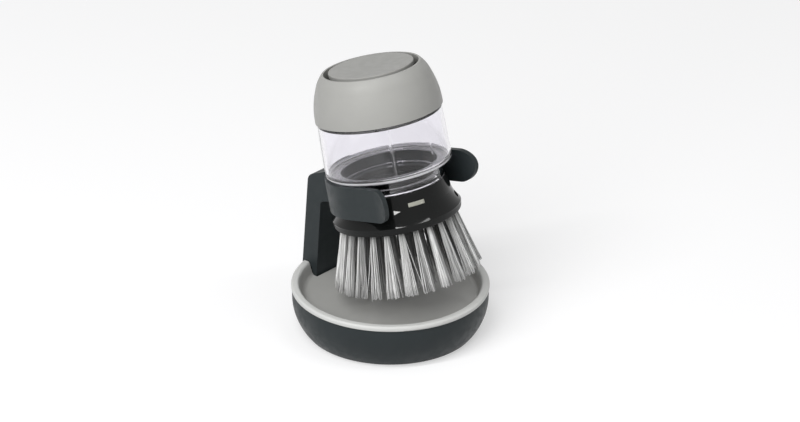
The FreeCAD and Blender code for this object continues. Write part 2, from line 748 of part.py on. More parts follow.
def make_cap_shell():
    """Domed cap: screw skirt below, and a well on top whose deck carries the button's pump."""
    body = new_body("cap_shell")
    lip = WELL_RADIUS + S.cap_lip
    step = CAP_RADIUS - lip
    side, waist, shoulder = [(lip + step * out, CAP_LOW + S.cap_height * up) for out, up in CAP_SIDE_SHARES]
    stem_bore = S.stem_radius + S.running_gap
    skirt_top = NECK_TOP + S.slip_gap
    revolve(body, [
        through(CAP_RADIUS, CAP_LOW, side),
        through(*waist, shoulder),
        corner(lip, CAP_TOP),
        corner(WELL_RADIUS, CAP_TOP),
        corner(WELL_RADIUS, DECK_TOP),
        corner(stem_bore, DECK_TOP),
        corner(stem_bore, BUSH_LOW),
        corner(S.bush_radius, BUSH_LOW),
        corner(S.bush_radius, DECK_LOW),
        corner(CAP_CAVITY, DECK_LOW),
        corner(CAP_CAVITY, skirt_top),
        corner(CAP_BORE, skirt_top),
        corner(CAP_BORE, CAP_LOW),
    ])
    start = S.tank_height + S.thread_lead_in + S.thread_pitch / 2
    thread_ridge(body, CAP_BORE, -S.ridge_height, start, "cap_thread")
    holes = new_sketch(body, "XY_Plane", "air_holes")
    set_offset(holes, 0, 0, DECK_LOW)
    draw_circle(holes, S.air_hole_ring_radius, 0, S.air_hole_radius)
    hole = pocket(body, holes, S.deck_thickness * 2, both_ways=True)
    around(body, hole, AIR_HOLE_COUNT)
    return lean_back(body)


def make_button():
    """Push button with a shallow dish on top and a stem that slides in the cap's bush."""
    body = new_body("button")
    screw_bore = S.stop_screw_radius + S.running_gap
    screw_end = BUSH_LOW + S.stop_screw_length
    land = S.button_radius - S.button_edge_land
    revolve(body, [
        corner(0, screw_end),
        corner(screw_bore, screw_end),
        corner(screw_bore, BUSH_LOW),
        corner(S.stem_radius, BUSH_LOW),
        corner(S.stem_radius, BUTTON_LOW),
        corner(S.button_radius, BUTTON_LOW),
        corner(S.button_radius, BUTTON_TOP, S.button_edge_round),
        through(land, BUTTON_TOP, (land / 2, BUTTON_TOP - S.button_dish * DISH_BEND_SHARE)),
        corner(0, BUTTON_TOP - S.button_dish),
    ])
    return lean_back(body)


def make_stop_washer():
    body = new_body("stop_washer")
    bore = S.stop_screw_radius + S.running_gap
    revolve(body, ring_items(bore, S.stop_washer_radius, BUSH_LOW - S.stop_washer_thickness, BUSH_LOW))
    return lean_back(body)


def make_stop_screw():
    body = new_body("stop_screw")
    seat = BUSH_LOW - S.stop_washer_thickness
    head_low = seat - S.stop_screw_head_height
    screw_end = BUSH_LOW + S.stop_screw_length
    revolve(body, [
        corner(0, head_low),
        corner(S.stop_screw_head_radius, head_low),
        corner(S.stop_screw_head_radius, seat),
        corner(S.stop_screw_radius, seat),
        corner(S.stop_screw_radius, screw_end),
        corner(0, screw_end),
    ])
    return lean_back(body)


def make_pump_bellows():
    """Soft dome between deck and button, clamped at its flange."""
    body = new_body("pump_bellows")
    flange = WELL_RADIUS - S.seat_gap
    root = S.button_radius - S.bellows_root_inset
    crown = S.button_radius - S.bellows_crown_inset
    hole = S.stem_radius + S.slip_gap
    revolve(body, [
        corner(flange, DECK_TOP),
        corner(flange, FLANGE_TOP),
        corner(root, FLANGE_TOP),
        corner(crown, BUTTON_LOW),
        corner(hole, BUTTON_LOW),
        corner(hole, BUTTON_LOW - S.bellows_wall),
        corner(crown - S.bellows_wall, BUTTON_LOW - S.bellows_wall),
        corner(root - S.bellows_wall, DECK_TOP),
    ])
    return lean_back(body)


def make_clamp_ring():
    body = new_body("clamp_ring")
    inner = S.button_radius + S.slip_gap
    revolve(body, ring_items(inner, WELL_RADIUS - S.seat_gap, FLANGE_TOP, FLANGE_TOP + S.clamp_ring_height))
    return lean_back(body)


def arc_from(start, tangent, end):
    """The arc that leaves start along a tangent and reaches end."""
    chord = end - start
    along = Vector(chord).normalize()
    side = (tangent - along * tangent.dot(along)).normalize()
    lift = chord.Length / 2 * math.tan(tangent.getAngle(along) / 2)
    return Part.Arc(start, start + chord / 2 + side * lift, end).toShape()


def helix_path(radius, low, rise, turns):
    """A helix as pairs of tangent arcs, one pair for each step."""
    steps = turns * SPRING_STEPS_PER_TURN
    angles = [2 * math.pi * turns * k / steps for k in range(steps + 1)]
    points = [Vector(radius * math.cos(a), radius * math.sin(a), low + rise * k / steps)
              for k, a in enumerate(angles)]
    climb = rise / (2 * math.pi * turns)
    tangents = [Vector(-radius * math.sin(a), radius * math.cos(a), climb).normalize() for a in angles]
    edges = []
    for start, end, leave, arrive in zip(points, points[1:], tangents, tangents[1:]):
        span = end - start
        both = leave + arrive
        spread = 2 * (1 - leave.dot(arrive))
        reach = (math.sqrt(span.dot(both) ** 2 + spread * span.dot(span)) - span.dot(both)) / spread
        meet = (start + end + (leave - arrive) * reach) / 2
        edges.append(arc_from(start, leave, meet))
        edges.append(arc_from(meet, (meet - start - leave * reach).normalize(), end))
    return Part.Wire(edges), points[0], tangents[0]


def make_button_spring():
    """Round-wire return spring between the deck and the crown of the bellows."""
    wire = S.spring_wire.value / 2
    low = DECK_TOP.value + wire
    high = BUTTON_LOW.value - S.bellows_wall.value - wire
    path, start, tangent = helix_path(S.spring_radius.value, low, high - low, SPRING_TURNS)
    section = Part.Wire(Part.makeCircle(wire, start, tangent))
    tube = path.makePipeShell([section], True, False)
    print("spring: volume over section times length", tube.Volume / (math.pi * wire ** 2 * path.Length))
    print("spring: gap between turns", (high - low) / SPRING_TURNS - 2 * wire)
    feature = DOC.addObject("Part::Feature", "button_spring")
    feature.Shape = tube
    return lean_back(feature)


def make_neck_seal():
    body = new_body("neck_seal")
    revolve(body, ring_items(SEAL_INNER, SPIGOT_RADIUS, SEAL_LOW, SPIGOT_LOW))
    return lean_back(body)


def make_brush_head():
    """Flared head: threaded bore for the tank's spigot, a valve cup on its floor, a recess below, and two
    blind slots in its flare."""
    body = new_body("brush_head")
    flare = (WAIST_RADIUS + S.rim_flare * FLARE_SHARES[0], WAIST + (RIM_TOP - WAIST) * FLARE_SHARES[1])
    cup_outside = VALVE_CUP + S.valve_cup_wall
    revolve(body, [
        corner(HEAD_BORE, HEAD_TOP),
        corner(HEAD_TOP_RADIUS, HEAD_TOP, S.head_edge_round),
        through(WAIST_RADIUS, WAIST, flare),
        corner(RIM_RADIUS, RIM_TOP),
        corner(RIM_RADIUS - S.rim_taper, HEAD_LOW, S.rim_round),
        corner(BLOCK_RECESS, HEAD_LOW),
        corner(BLOCK_RECESS, BLOCK_TOP),
        corner(S.outlet_radius, BLOCK_TOP),
        corner(S.outlet_radius, HEAD_FLOOR_TOP),
        corner(VALVE_CUP, HEAD_FLOOR_TOP),
        corner(VALVE_CUP, VALVE_CUP_TOP),
        corner(cup_outside, VALVE_CUP_TOP),
        corner(cup_outside, HEAD_FLOOR_TOP),
        corner(SEAL_INNER, HEAD_FLOOR_TOP),
        corner(SEAL_INNER, SEAL_LOW),
        corner(HEAD_BORE, SEAL_LOW),
    ])
    start = SPIGOT_LOW + S.thread_lead_in + S.thread_pitch / 2
    thread_ridge(body, HEAD_BORE, -S.ridge_height, start, "head_thread")
    slot = new_sketch(body, "YZ_Plane", "snap_slot")
    middle = WAIST - S.snap_slot_drop
    set_offset(slot, RIM_RADIUS * SLOT_SIN, middle, RIM_RADIUS * SLOT_COS, Vector(0, 1, 0), S.snap_slot_turn)
    end = S.snap_slot_width / 2
    side = S.snap_slot_height / 2
    draw(slot, [
        corner(-end, -side, S.snap_slot_round),
        corner(end, -side, S.snap_slot_round),
        corner(end, side, S.snap_slot_round),
        corner(-end, side, S.snap_slot_round),
    ])
    around(body, pocket(body, slot, S.snap_slot_depth), SNAP_SLOT_COUNT)
    return lean_back(body)


def make_outlet_valve():
    """Soft cup with a slit in its floor, which opens under pressure."""
    body = new_body("outlet_valve")
    outer = S.outlet_radius - S.slip_gap
    inner = outer - S.valve_wall
    low = BLOCK_TOP + S.seat_gap
    flange_top = HEAD_FLOOR_TOP + S.valve_flange
    revolve(body, [
        corner(0, low),
        corner(outer, low),
        corner(outer, HEAD_FLOOR_TOP),
        corner(VALVE_RADIUS, HEAD_FLOOR_TOP),
        corner(VALVE_RADIUS, flange_top),
        corner(inner, flange_top),
        corner(inner, low + S.valve_wall),
        corner(0, low + S.valve_wall),
    ])
    slit = new_sketch(body, "XY_Plane", "slit")
    set_offset(slit, 0, 0, low)
    end = S.valve_slit_length / 2
    side = S.valve_slit_width / 2
    draw(slit, [corner(-end, -side), corner(end, -side), corner(end, side), corner(-end, side)])
    body.Tip = pocket(body, slit, S.valve_wall * 2 + S.cut_overrun, both_ways=True)
    return lean_back(body)


def make_valve_retainer():
    body = new_body("valve_retainer")
    low = HEAD_FLOOR_TOP + S.valve_flange
    revolve(body, ring_items(S.outlet_radius, VALVE_RADIUS, low, VALVE_CUP_TOP))
    return lean_back(body)


def make_bristle_block():
    """Disc that fills the head's recess, with rings of slanted blind holes for the tufts."""
    body = new_body("bristle_block")
    revolve(body, ring_items(BLOCK_OUTLET, BLOCK_RECESS - S.seat_gap, HEAD_LOW, BLOCK_TOP))
    for ring, count in RING_COUNTS.items():
        holes = new_sketch(body, "XY_Plane", f"{ring}_holes")
        splay = as_size(RING_SPLAYS[ring])
        set_offset(holes, RING_RADII[ring], 0, HEAD_LOW, Vector(0, -1, 0), splay)
        draw_circle(holes, 0, 0, S.tuft_root_radius + S.seat_gap)
        hole = pocket(body, holes, S.tuft_hole_depth * 2, both_ways=True)
        around(body, hole, count)
    return lean_back(body)


def ring_places(ring):
    """Where each tuft of a ring stands: root on the block's face, splayed outwards, turned into place."""
    root = FreeCAD.Placement(Vector(RING_RADII[ring].value, 0, HEAD_LOW.value),
                             FreeCAD.Rotation(Vector(0, -1, 0), RING_SPLAYS[ring]))
    count = RING_COUNTS[ring]
    for k in range(count):
        turn = FreeCAD.Rotation(Vector(0, 0, 1), 360 * k / count)
        yield FreeCAD.Placement(Vector(0, 0, 0), turn).multiply(root)


def anchor_box():
    """Flat metal anchor at the bottom of a tuft's hole, with the tuft's axis along -Z."""
    width, thickness, height = S.anchor_width.value, S.anchor_thickness.value, S.anchor_height.value
    low = Vector(-width / 2, -thickness / 2, S.tuft_hole_depth.value - height)
    return Part.makeBox(width, thickness, height, low)


def make_tufts(ring):
    """One ring of tufts: each a round bundle that widens from its root to its trimmed end."""
    root = S.tuft_root_radius.value
    tip = TIP_RADII[ring].value
    length = S.tuft_drop.value / math.cos(math.radians(RING_SPLAYS[ring]))
    top = S.tuft_hole_depth.value
    trim = tip * TUFT_TRIM_SHARE
    outline = [(0, top), (root, top), (root, 0), (tip, trim - length), (tip - trim, -length), (0, -length)]
    face = Part.Face(Part.makePolygon([Vector(x, 0, z) for x, z in outline + outline[:1]]))
    tuft = face.revolve(Vector(0, 0, 0), Vector(0, 0, 1), 360).cut(anchor_box())
    feature = DOC.addObject("Part::Feature", f"tufts_{ring}")
    feature.Shape = Part.makeCompound([tuft.transformed(place.toMatrix()) for place in ring_places(ring)])
    return lean_back(feature)


def make_tuft_anchors():
    feature = DOC.addObject("Part::Feature", "tuft_anchors")
    places = [place for ring in RING_COUNTS for place in ring_places(ring)]
    feature.Shape = Part.makeCompound([anchor_box().transformed(place.toMatrix()) for place in places])
    return lean_back(feature)


def main():
    pieces = [
        make_base_pad(), make_stand_base(), make_drip_tray(), make_holder_arm(), make_arm_screws(),
        make_tank(), make_cap_gasket(), make_cap_shell(), make_button(), make_stop_washer(), make_stop_screw(),
        make_pump_bellows(), make_clamp_ring(), make_button_spring(),
        make_neck_seal(), make_brush_head(), make_outlet_valve(), make_valve_retainer(), make_bristle_block(),
    ]
    pieces += [make_tufts(ring) for ring in RING_COUNTS]
    pieces.append(make_tuft_anchors())
    DOC.recompute()
    for item in DOC.Objects:
        if "Invalid" in item.State or "Error" in item.State:
            raise RuntimeError(f"{item.Name} failed: {item.State}")
    for piece in pieces:
        if piece.Shape.isNull() or not piece.Shape.isValid():
            raise RuntimeError(f"{piece.Label} has no sound shape")
    os.makedirs("parts", exist_ok=True)
    for piece in pieces:
        piece.Shape.exportStep(os.path.join("parts", f"{piece.Label}.step"))
        box = piece.Shape.BoundBox
        print(f"{piece.Label}: {len(piece.Shape.Solids)} solids, {piece.Shape.Volume:.0f} mm3,",
              f"z {box.ZMin:.1f} to {box.ZMax:.1f}")


main()
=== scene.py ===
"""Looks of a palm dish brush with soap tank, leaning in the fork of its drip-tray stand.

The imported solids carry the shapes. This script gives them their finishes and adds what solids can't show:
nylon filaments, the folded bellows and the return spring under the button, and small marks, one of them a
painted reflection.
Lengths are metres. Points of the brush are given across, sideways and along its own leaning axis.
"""
import json
import math

import bpy
import numpy as np
from bpy.props import FloatProperty, FloatVectorProperty, IntProperty, PointerProperty
from mathutils import Matrix, Vector


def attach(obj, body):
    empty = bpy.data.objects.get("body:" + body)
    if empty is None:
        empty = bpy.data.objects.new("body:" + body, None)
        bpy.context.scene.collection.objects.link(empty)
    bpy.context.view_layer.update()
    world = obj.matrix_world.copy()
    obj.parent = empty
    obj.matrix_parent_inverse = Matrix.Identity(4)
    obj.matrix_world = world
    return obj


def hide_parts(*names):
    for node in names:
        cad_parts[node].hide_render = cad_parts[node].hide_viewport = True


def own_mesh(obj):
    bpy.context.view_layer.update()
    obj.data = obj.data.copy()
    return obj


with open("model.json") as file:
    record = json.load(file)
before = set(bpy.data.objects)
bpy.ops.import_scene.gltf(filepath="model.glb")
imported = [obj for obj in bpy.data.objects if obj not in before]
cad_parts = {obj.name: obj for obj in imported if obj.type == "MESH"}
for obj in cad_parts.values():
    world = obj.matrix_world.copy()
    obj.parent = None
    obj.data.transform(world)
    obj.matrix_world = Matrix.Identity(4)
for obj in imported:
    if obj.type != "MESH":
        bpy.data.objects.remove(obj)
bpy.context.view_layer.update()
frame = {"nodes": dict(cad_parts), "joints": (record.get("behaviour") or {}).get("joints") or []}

bl_info = {
    "name": "Palm dish brush",
    "version": (1, 0, 0),
    "blender": (4, 5, 0),
    "location": "3D View > Sidebar > Dish brush",
    "description": "Finishes, bristles and small soft pieces of a palm dish brush with soap tank and stand",
    "category": "Object",
}

JOINTS = {joint["name"]: joint for joint in frame["joints"]}
MM = 0.001

# The brush's own frame: a point of its axis at the tank's underside, and its three directions
AXIS_POINT = np.array(JOINTS["tank_turn"]["pos_m"])
ALONG = np.array(JOINTS["tank_turn"]["axis"])
ACROSS = np.array(JOINTS["brush_pull"]["axis"])
SIDE = np.cross(ALONG, ACROSS)

# Stations along the brush's axis and radii round it, as the solids have them: the pump under the button
DECK_TOP = 41.0 * MM
FLANGE_TOP = 42.4 * MM
FLANGE_RADIUS = 23.7 * MM
BUTTON_LOW = 50.1 * MM
BELLOWS_ROOT = 20.3 * MM
BELLOWS_CROWN = 17.8 * MM
BELLOWS_HOLE = 2.9 * MM
BELLOWS_WALL = 1.0 * MM
BELLOWS_FOLD = 0.55 * MM
BELLOWS_ROOM = 0.1 * MM
SPRING_RADIUS = 6.2 * MM
SPRING_WIRE = 0.35 * MM
SPRING_TURNS = 4

# The head: a cone down to its waist, then a flare that ends in a rim
HEAD_TOP = -7.7 * MM
HEAD_TOP_RADIUS = 27.2 * MM
WAIST = -15.7 * MM
WAIST_RADIUS = 28.8 * MM
FLARE_SLOPE = 0.30
FLARE_CURVE = 13.0
RIM_TOP = -22.5 * MM
HEAD_LOW = -26.1 * MM

# The printed arrow on the head, and the pale patch beside it that is a painted reflection of a window light:
# middle, half height, the turns where they start and end, and how they sit in the skin
ARROW_MIDDLE = -15.6 * MM
ARROW_HALF = 1.05 * MM
ARROW_TURN = math.radians(-48.3)
ARROW_TIP = math.radians(-42.0)
ARROW_NARROWING = 0.97
REFLECTION_MIDDLE = -13.4 * MM
REFLECTION_HALF = 1.0 * MM
REFLECTION_TURN = math.radians(-32.9)
REFLECTION_END = math.radians(-15.3)
MARK_PROUD = 0.06 * MM
MARK_SUNK = 0.10 * MM

# The tufts: how deep they reach, and how their filaments scatter, in shares of the tuft's radius
TUFT_DROP = 30.7 * MM
TUFT_ROOT = 1.15 * MM
TUFT_SUNK = 1.5 * MM
TUFT_STRANDS = 9
STRAND_REACH = (0.08, 1.0)
TIP_SHAPE = np.array([0.72, 1.0])
FAN_POWER = 1.15
ROOT_SCATTER = 0.05
TIP_SCATTER = 0.09
STRAY_SHARE = 0.04
STRAY_SCATTER = 0.6
STRAND_SHADES = (0.15, 1.0)
STRAND_WEIGHT = 0.6
OWN_SHADES = (0, 0.55)
CRIMP_WAVES = (1.4, 2.6)
RAGGED_SPREAD = 0.6
TIP_WEAR = 0.25
WEAR_POWER = 6
ROOT_SHADE_POWER = 0.8
FIRST_SEED = 11
# Each ring of tufts: count, radius, splay in degrees, radius of a tuft's tip, paleness of tips and of roots.
# Both are painted light: the middle and inner rings are dimmed for the shade among the tufts, and shade is
# painted towards every root
RINGS = {
    "outer": (24, 27.6 * MM, 14.0, 3.5 * MM, 1.12, 0.85),
    "middle": (18, 20.4 * MM, 9.5, 3.0 * MM, 0.45, 0.0),
    "inner": (11, 13.2 * MM, 5.0, 2.8 * MM, 0.32, 0.0),
}

# The tank's mould seam, and the stations between which a painted highlight on its lower edge fades out, where
# the clear plastic is turned cloudy white
SEAM_TURN = math.radians(-39.5)
SEAM_HALF = math.radians(2.2)
SEAM_INNER = 30.6 * MM
PAINTED_EDGE_LOW = 1.4 * MM
PAINTED_EDGE_HIGH = 2.1 * MM

# The drip tray, as heights and radii of the stand
TRAY_FLOOR = 18.6 * MM
LIP_TOP = 25.1 * MM
LIP_INNER = 46.3 * MM

# How finely the new pieces are divided
MARK_ROWS = 7
MARK_COLUMNS = 17
FILAMENT_ROWS = 8
FILAMENT_SIDES = 4
BELLOWS_ROWS = 33
BELLOWS_COLUMNS = 96
SPRING_ROWS = 161
SPRING_SIDES = 10
FLOOR_RINGS = 12
FLOOR_COLUMNS = 64

# Bare metals, and the weak mirror of the dark plastics
SCREW_STEEL = (0.55, 0.55, 0.56)
PUMP_STEEL = (0.60, 0.60, 0.61)
SPRING_STEEL = (0.58, 0.58, 0.60)
ANCHOR_BRASS = (0.55, 0.42, 0.20)
DARK_PLASTIC_MIRROR = 0.2

# The studio. Each light: place, width and depth, power, and whether gloss mirrors it
LAMPS = {
    "key_light": ((0.46, -1.22, 0.95), (1.10, 1.10), 15.0, False),
    "front_strip": ((0.00, -0.80, 1.33), (1.20, 0.09), 8.5, True),
    "back_strip": ((0.56, 0.16, 1.42), (0.60, 0.09), 2.2, True),
}
LAMP_AIM = Vector((0, 0, 0.07))
LAMP_SIDE = Vector((0.50, 0.86, 0.0))
FLOOR_REACH = 6.0
FLOOR_PAPER = (0.60, 0.60, 0.605, 1.0)
# The floor's own glow for the camera grows between these distances, from the first strength to the second
GLOW_DISTANCES = (0.15, 2.0)
GLOW_STRENGTHS = (0.44, 0.58)
SENSOR_WIDTH = 36.0
LENS = 145.1
SHIFT = (0.0120, -0.0246)
CLIP = (0.05, 50.0)


class FinishColours(bpy.types.PropertyGroup):
    """Colours of the finishes, as linear light."""

    charcoal: FloatVectorProperty(
        name="Charcoal", description="Moulded plastic of base, arm and fork",
        subtype="COLOR", min=0, max=1, default=(0.024, 0.030, 0.032))
    tray_floor: FloatVectorProperty(
        name="Tray floor", description="Inside of the drip tray",
        subtype="COLOR", min=0, max=1, default=(0.385, 0.385, 0.370))
    tray_lip: FloatVectorProperty(
        name="Tray lip", description="Rounded lip of the drip tray",
        subtype="COLOR", min=0, max=1, default=(0.600, 0.605, 0.590))
    cap_grey: FloatVectorProperty(
        name="Cap grey", description="Satin plastic of cap and button",
        subtype="COLOR", min=0, max=1, default=(0.350, 0.349, 0.333))
    head_black: FloatVectorProperty(
        name="Head black", description="Polished plastic of the brush head",
        subtype="COLOR", min=0, max=1, default=(0.0055, 0.0060, 0.0058))
    clear_tint: FloatVectorProperty(
        name="Clear tint", description="Tint of the clear soap tank",
        subtype="COLOR", min=0, max=1, default=(0.948, 0.938, 0.972))
    nylon_light: FloatVectorProperty(
        name="Nylon light", description="Palest filaments",
        subtype="COLOR", min=0, max=1, default=(0.90, 0.90, 0.89))
    nylon_dark: FloatVectorProperty(
        name="Nylon dark", description="Darkest filaments",
        subtype="COLOR", min=0, max=1, default=(0.028, 0.028, 0.028))
    rubber: FloatVectorProperty(
        name="Rubber", description="Seals, pad and bellows",
        subtype="COLOR", min=0, max=1, default=(0.012, 0.012, 0.013))
    mark_white: FloatVectorProperty(
        name="Mark white", description="Printed arrow on the head",
        subtype="COLOR", min=0, max=1, default=(0.88, 0.88, 0.86))
    # Colour of the pale patch on the head, which is a painted reflection of a window light, not a real plate.
    plate: FloatVectorProperty(
        name="Plate", description="Bare pale plate on the head",
        subtype="COLOR", min=0, max=1, default=(0.36, 0.36, 0.31))


class BristleSizes(bpy.types.PropertyGroup):
    """Sizes of the nylon filaments."""

    filament_radius: FloatProperty(
        name="Filament radius", description="Half the thickness of a filament",
        unit="LENGTH", subtype="DISTANCE", min=0.00005, max=0.0005, default=0.00021)
    per_outer_tuft: IntProperty(
        name="Filaments in an outer tuft", description="How many filaments an outer tuft holds",
        min=6, max=80, default=40)
    per_inner_tuft: IntProperty(
        name="Filaments in an inner tuft", description="How many filaments a middle or inner tuft holds",
        min=6, max=80, default=26)
    crimp: FloatProperty(
        name="Crimp", description="How far a filament waves to either side",
        unit="LENGTH", subtype="DISTANCE", min=0, max=0.001, default=0.00016)
    gather: FloatProperty(
        name="Gather", description="How far the filaments of a tuft draw together into strands",
        subtype="FACTOR", min=0, max=1, default=0.55)
    ragged: FloatProperty(
        name="Ragged ends", description="How much the trimmed ends differ in length",
        unit="LENGTH", subtype="DISTANCE", min=0, max=0.003, default=0.0006)


class StageSizes(bpy.types.PropertyGroup):
    """Camera and light of the studio."""

    azimuth: FloatProperty(
        name="Azimuth", description="Bearing of the camera from the front of the brush's side",
        subtype="ANGLE", default=math.radians(41.5))
    elevation: FloatProperty(
        name="Elevation", description="Height of the camera above the horizon",
        subtype="ANGLE", default=math.radians(25.9))
    distance: FloatProperty(
        name="Distance", description="From the camera to the point it looks at",
        unit="LENGTH", subtype="DISTANCE", default=1.6)
    aim_height: FloatProperty(
        name="Aim height", description="Height of the point that the camera looks at",
        unit="LENGTH", subtype="DISTANCE", default=0.075)
    ambient: FloatProperty(
        name="Ambient light", description="Strength of the even light from all round",
        min=0, max=2, default=0.42)


def settings():
    """The colours and bristle sizes that the panel shows."""
    return bpy.context.scene.dish_brush_colours, bpy.context.scene.dish_brush_bristles


def brush_points(across, sideways, along):
    """Points given in the brush's own frame, as an array of points in the shared frame."""
    across, sideways, along = np.broadcast_arrays(across, sideways, along)
    return AXIS_POINT + across[..., None] * ACROSS + sideways[..., None] * SIDE + along[..., None] * ALONG


def round_points(radius, turn, along):
    """Points at a radius and a turn round the brush's axis."""
    return brush_points(radius * np.cos(turn), radius * np.sin(turn), along)


def grid_quads(rows, columns, close_rows=False, close_columns=False):
    """Corner numbers of the quads of a grid of points, row after row, joined at its ends where it closes."""
    row = np.arange(rows if close_rows else rows - 1)[:, None]
    column = np.arange(columns if close_columns else columns - 1)[None, :]
    next_row = (row + 1) % rows
    next_column = (column + 1) % columns
    corners = (row * columns + column, row * columns + next_column,
               next_row * columns + next_column, next_row * columns + column)
    return np.stack(np.broadcast_arrays(*corners), -1).reshape(-1, 4)


def new_piece(name, points, quads, material, body, attributes=()):
    """A smooth mesh at the origin that rides on a body and takes its finish from a slot."""
    mesh = bpy.data.meshes.new(name)
    mesh.from_pydata(points.reshape(-1, 3).tolist(), [], quads.tolist())
    mesh.polygons.foreach_set("use_smooth", np.ones(len(mesh.polygons), dtype=bool))
    for label, values in attributes:
        layer = mesh.attributes.new(label, "FLOAT", "POINT")
        layer.data.foreach_set("value", np.ascontiguousarray(values.ravel(), dtype=np.float32))
    mesh.materials.append(material)
    mesh.update()
    if mesh.validate():
        raise RuntimeError(f"{name} had faulty faces")
    piece = bpy.data.objects.new(name, mesh)
    bpy.context.scene.collection.objects.link(piece)
    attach(piece, body)
    return piece


class Finish:
    """A material with one principled shader, built up node by node."""

    def __init__(self, name):
        self.material = bpy.data.materials.new(name)
        self.material.use_nodes = True
        self.tree = self.material.node_tree
        self.tree.nodes.clear()
        self.shader = self.node("ShaderNodeBsdfPrincipled")
        output = self.node("ShaderNodeOutputMaterial")
        self.link(self.shader.outputs["BSDF"], output.inputs["Surface"])

    def node(self, kind, **values):
        made = self.tree.nodes.new(kind)
        for key, value in values.items():
            setattr(made, key, value)
        return made

    def link(self, source, target):
        self.tree.links.new(source, target)

    def set(self, **values):
        """Sets the shader's own sockets, given with _ for the spaces of their names."""
        for key, value in values.items():
            self.shader.inputs[key.replace("_", " ")].default_value = value
        return self

    def place(self):
        """The piece's own coordinates."""
        return self.node("ShaderNodeTexCoord").outputs["Object"]

    def noise(self, scale, detail=3.0, roughness=0.5, stretch=None):
        """Noise over the piece's own coordinates, stretched along the axes if asked."""
        place = self.place()
        if stretch:
            mapping = self.node("ShaderNodeMapping")
            mapping.inputs["Scale"].default_value = stretch
            self.link(place, mapping.inputs["Vector"])
            place = mapping.outputs["Vector"]
        made = self.node("ShaderNodeTexNoise")
        made.inputs["Scale"].default_value = scale
        made.inputs["Detail"].default_value = detail
        made.inputs["Roughness"].default_value = roughness
        self.link(place, made.inputs["Vector"])
        return made.outputs["Fac"]

    def span(self, source, low, high, to_low, to_high):
        """Carries a number from one range to another, smoothly and without overshoot."""
        made = self.node("ShaderNodeMapRange", interpolation_type="SMOOTHSTEP")
        for key, value in (("From Min", low), ("From Max", high), ("To Min", to_low), ("To Max", to_high)):
            made.inputs[key].default_value = value
        self.link(source, made.inputs["Value"])
        return made.outputs["Result"]

    def blend(self, share, first, second):
        """Mixes two colours, each a plain colour or a socket."""
        made = self.node("ShaderNodeMix", data_type="RGBA")
        self.link(share, made.inputs[0])
        for socket, colour in ((made.inputs[6], first), (made.inputs[7], second)):
            if isinstance(colour, bpy.types.NodeSocket):
                self.link(colour, socket)
            else:
                socket.default_value = (*colour, 1.0)
        return made.outputs[2]

    def maths(self, operation, first, second):
        """Works out one number from two, each a plain number or a socket."""
        made = self.node("ShaderNodeMath", operation=operation)
        for socket, value in zip(made.inputs, (first, second)):
            if isinstance(value, bpy.types.NodeSocket):
                self.link(value, socket)
            else:
                socket.default_value = value
        return made.outputs[0]

    def reach(self, direction):
        """How far a point lies along a direction of the brush, from its axis at the tank's underside."""
        dot = self.node("ShaderNodeVectorMath", operation="DOT_PRODUCT")
        dot.inputs[1].default_value = direction
        self.link(self.place(), dot.inputs[0])
        return self.maths("SUBTRACT", dot.outputs["Value"], float(AXIS_POINT @ direction))

    def axis_round(self):
        """How far from the brush's axis a point lies, and at what turn round it."""
        across = self.reach(ACROSS)
        sideways = self.reach(SIDE)
        squares = self.maths("ADD", self.maths("MULTIPLY", across, across),
                             self.maths("MULTIPLY", sideways, sideways))
        return self.maths("SQRT", squares, 0.0), self.maths("ARCTAN2", sideways, across)

    def floor_radius(self):
        """How far from the stand's upright axis a point lies."""
        flat = self.node("ShaderNodeVectorMath", operation="MULTIPLY")
        flat.inputs[1].default_value = (1, 1, 0)
        length = self.node("ShaderNodeVectorMath", operation="LENGTH")
        self.link(self.place(), flat.inputs[0])
        self.link(flat.outputs["Vector"], length.inputs[0])
        return length.outputs["Value"]

    def height(self):
        """How far above the floor a point lies."""
        split = self.node("ShaderNodeSeparateXYZ")
        self.link(self.place(), split.inputs[0])
        return split.outputs["Z"]

    def bump(self, source, depth, strength=1.0):
        """Raises the surface's grain by a depth where the source is one."""
        made = self.node("ShaderNodeBump")
        made.inputs["Strength"].default_value = strength
        made.inputs["Distance"].default_value = depth
        self.link(source, made.inputs["Height"])
        self.link(made.outputs["Normal"], self.shader.inputs["Normal"])

    def colour(self, source):
        self.link(source, self.shader.inputs["Base Color"])

    def roughness(self, source):
        self.link(source, self.shader.inputs["Roughness"])


def lighter(colour, factor):
    """A colour times a factor, kept within one."""
    return tuple(min(1.0, channel * factor) for channel in colour)


def moulded(name, colour, smooth, rough, grain=2600.0, depth=0.00003, mottle=0.10):
    """Moulded plastic: cloudy colour, a spark-eroded grain as bump, and polish that wanders a little."""
    finish = Finish(name)
    clouds = finish.noise(70.0, detail=4.0)
    finish.colour(finish.blend(clouds, lighter(colour, 1.0 - mottle), lighter(colour, 1.0 + mottle)))
    finish.roughness(finish.span(finish.noise(240.0), 0.35, 0.65, smooth, rough))
    finish.bump(finish.noise(grain, detail=2.0), depth)
    return finish


def metal(name, colour, rough):
    """Drawn wire or turned metal with fine streaks."""
    finish = Finish(name)
    streaks = finish.noise(900.0, stretch=(1.0, 1.0, 6.0))
    finish.colour(finish.blend(streaks, lighter(colour, 0.8), lighter(colour, 1.15)))
    finish.roughness(finish.span(streaks, 0.3, 0.7, rough * 0.7, rough * 1.4))
    finish.bump(streaks, 0.00001)
    return finish.set(Metallic=1.0)


def rubber(name, colour):
    """Soft rubber: dark, dull and slightly dusty."""
    finish = Finish(name)
    dust = finish.noise(500.0, detail=5.0)
    finish.colour(finish.blend(dust, lighter(colour, 0.7), lighter(colour, 1.8)))
    finish.roughness(finish.span(dust, 0.3, 0.7, 0.55, 0.75))
    finish.bump(finish.noise(3200.0), 0.00002)
    return finish


def dress(node, finish):
    """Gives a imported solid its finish."""
    solid = frame["nodes"][node]
    solid.data.materials.clear()
    solid.data.materials.append(finish.material)


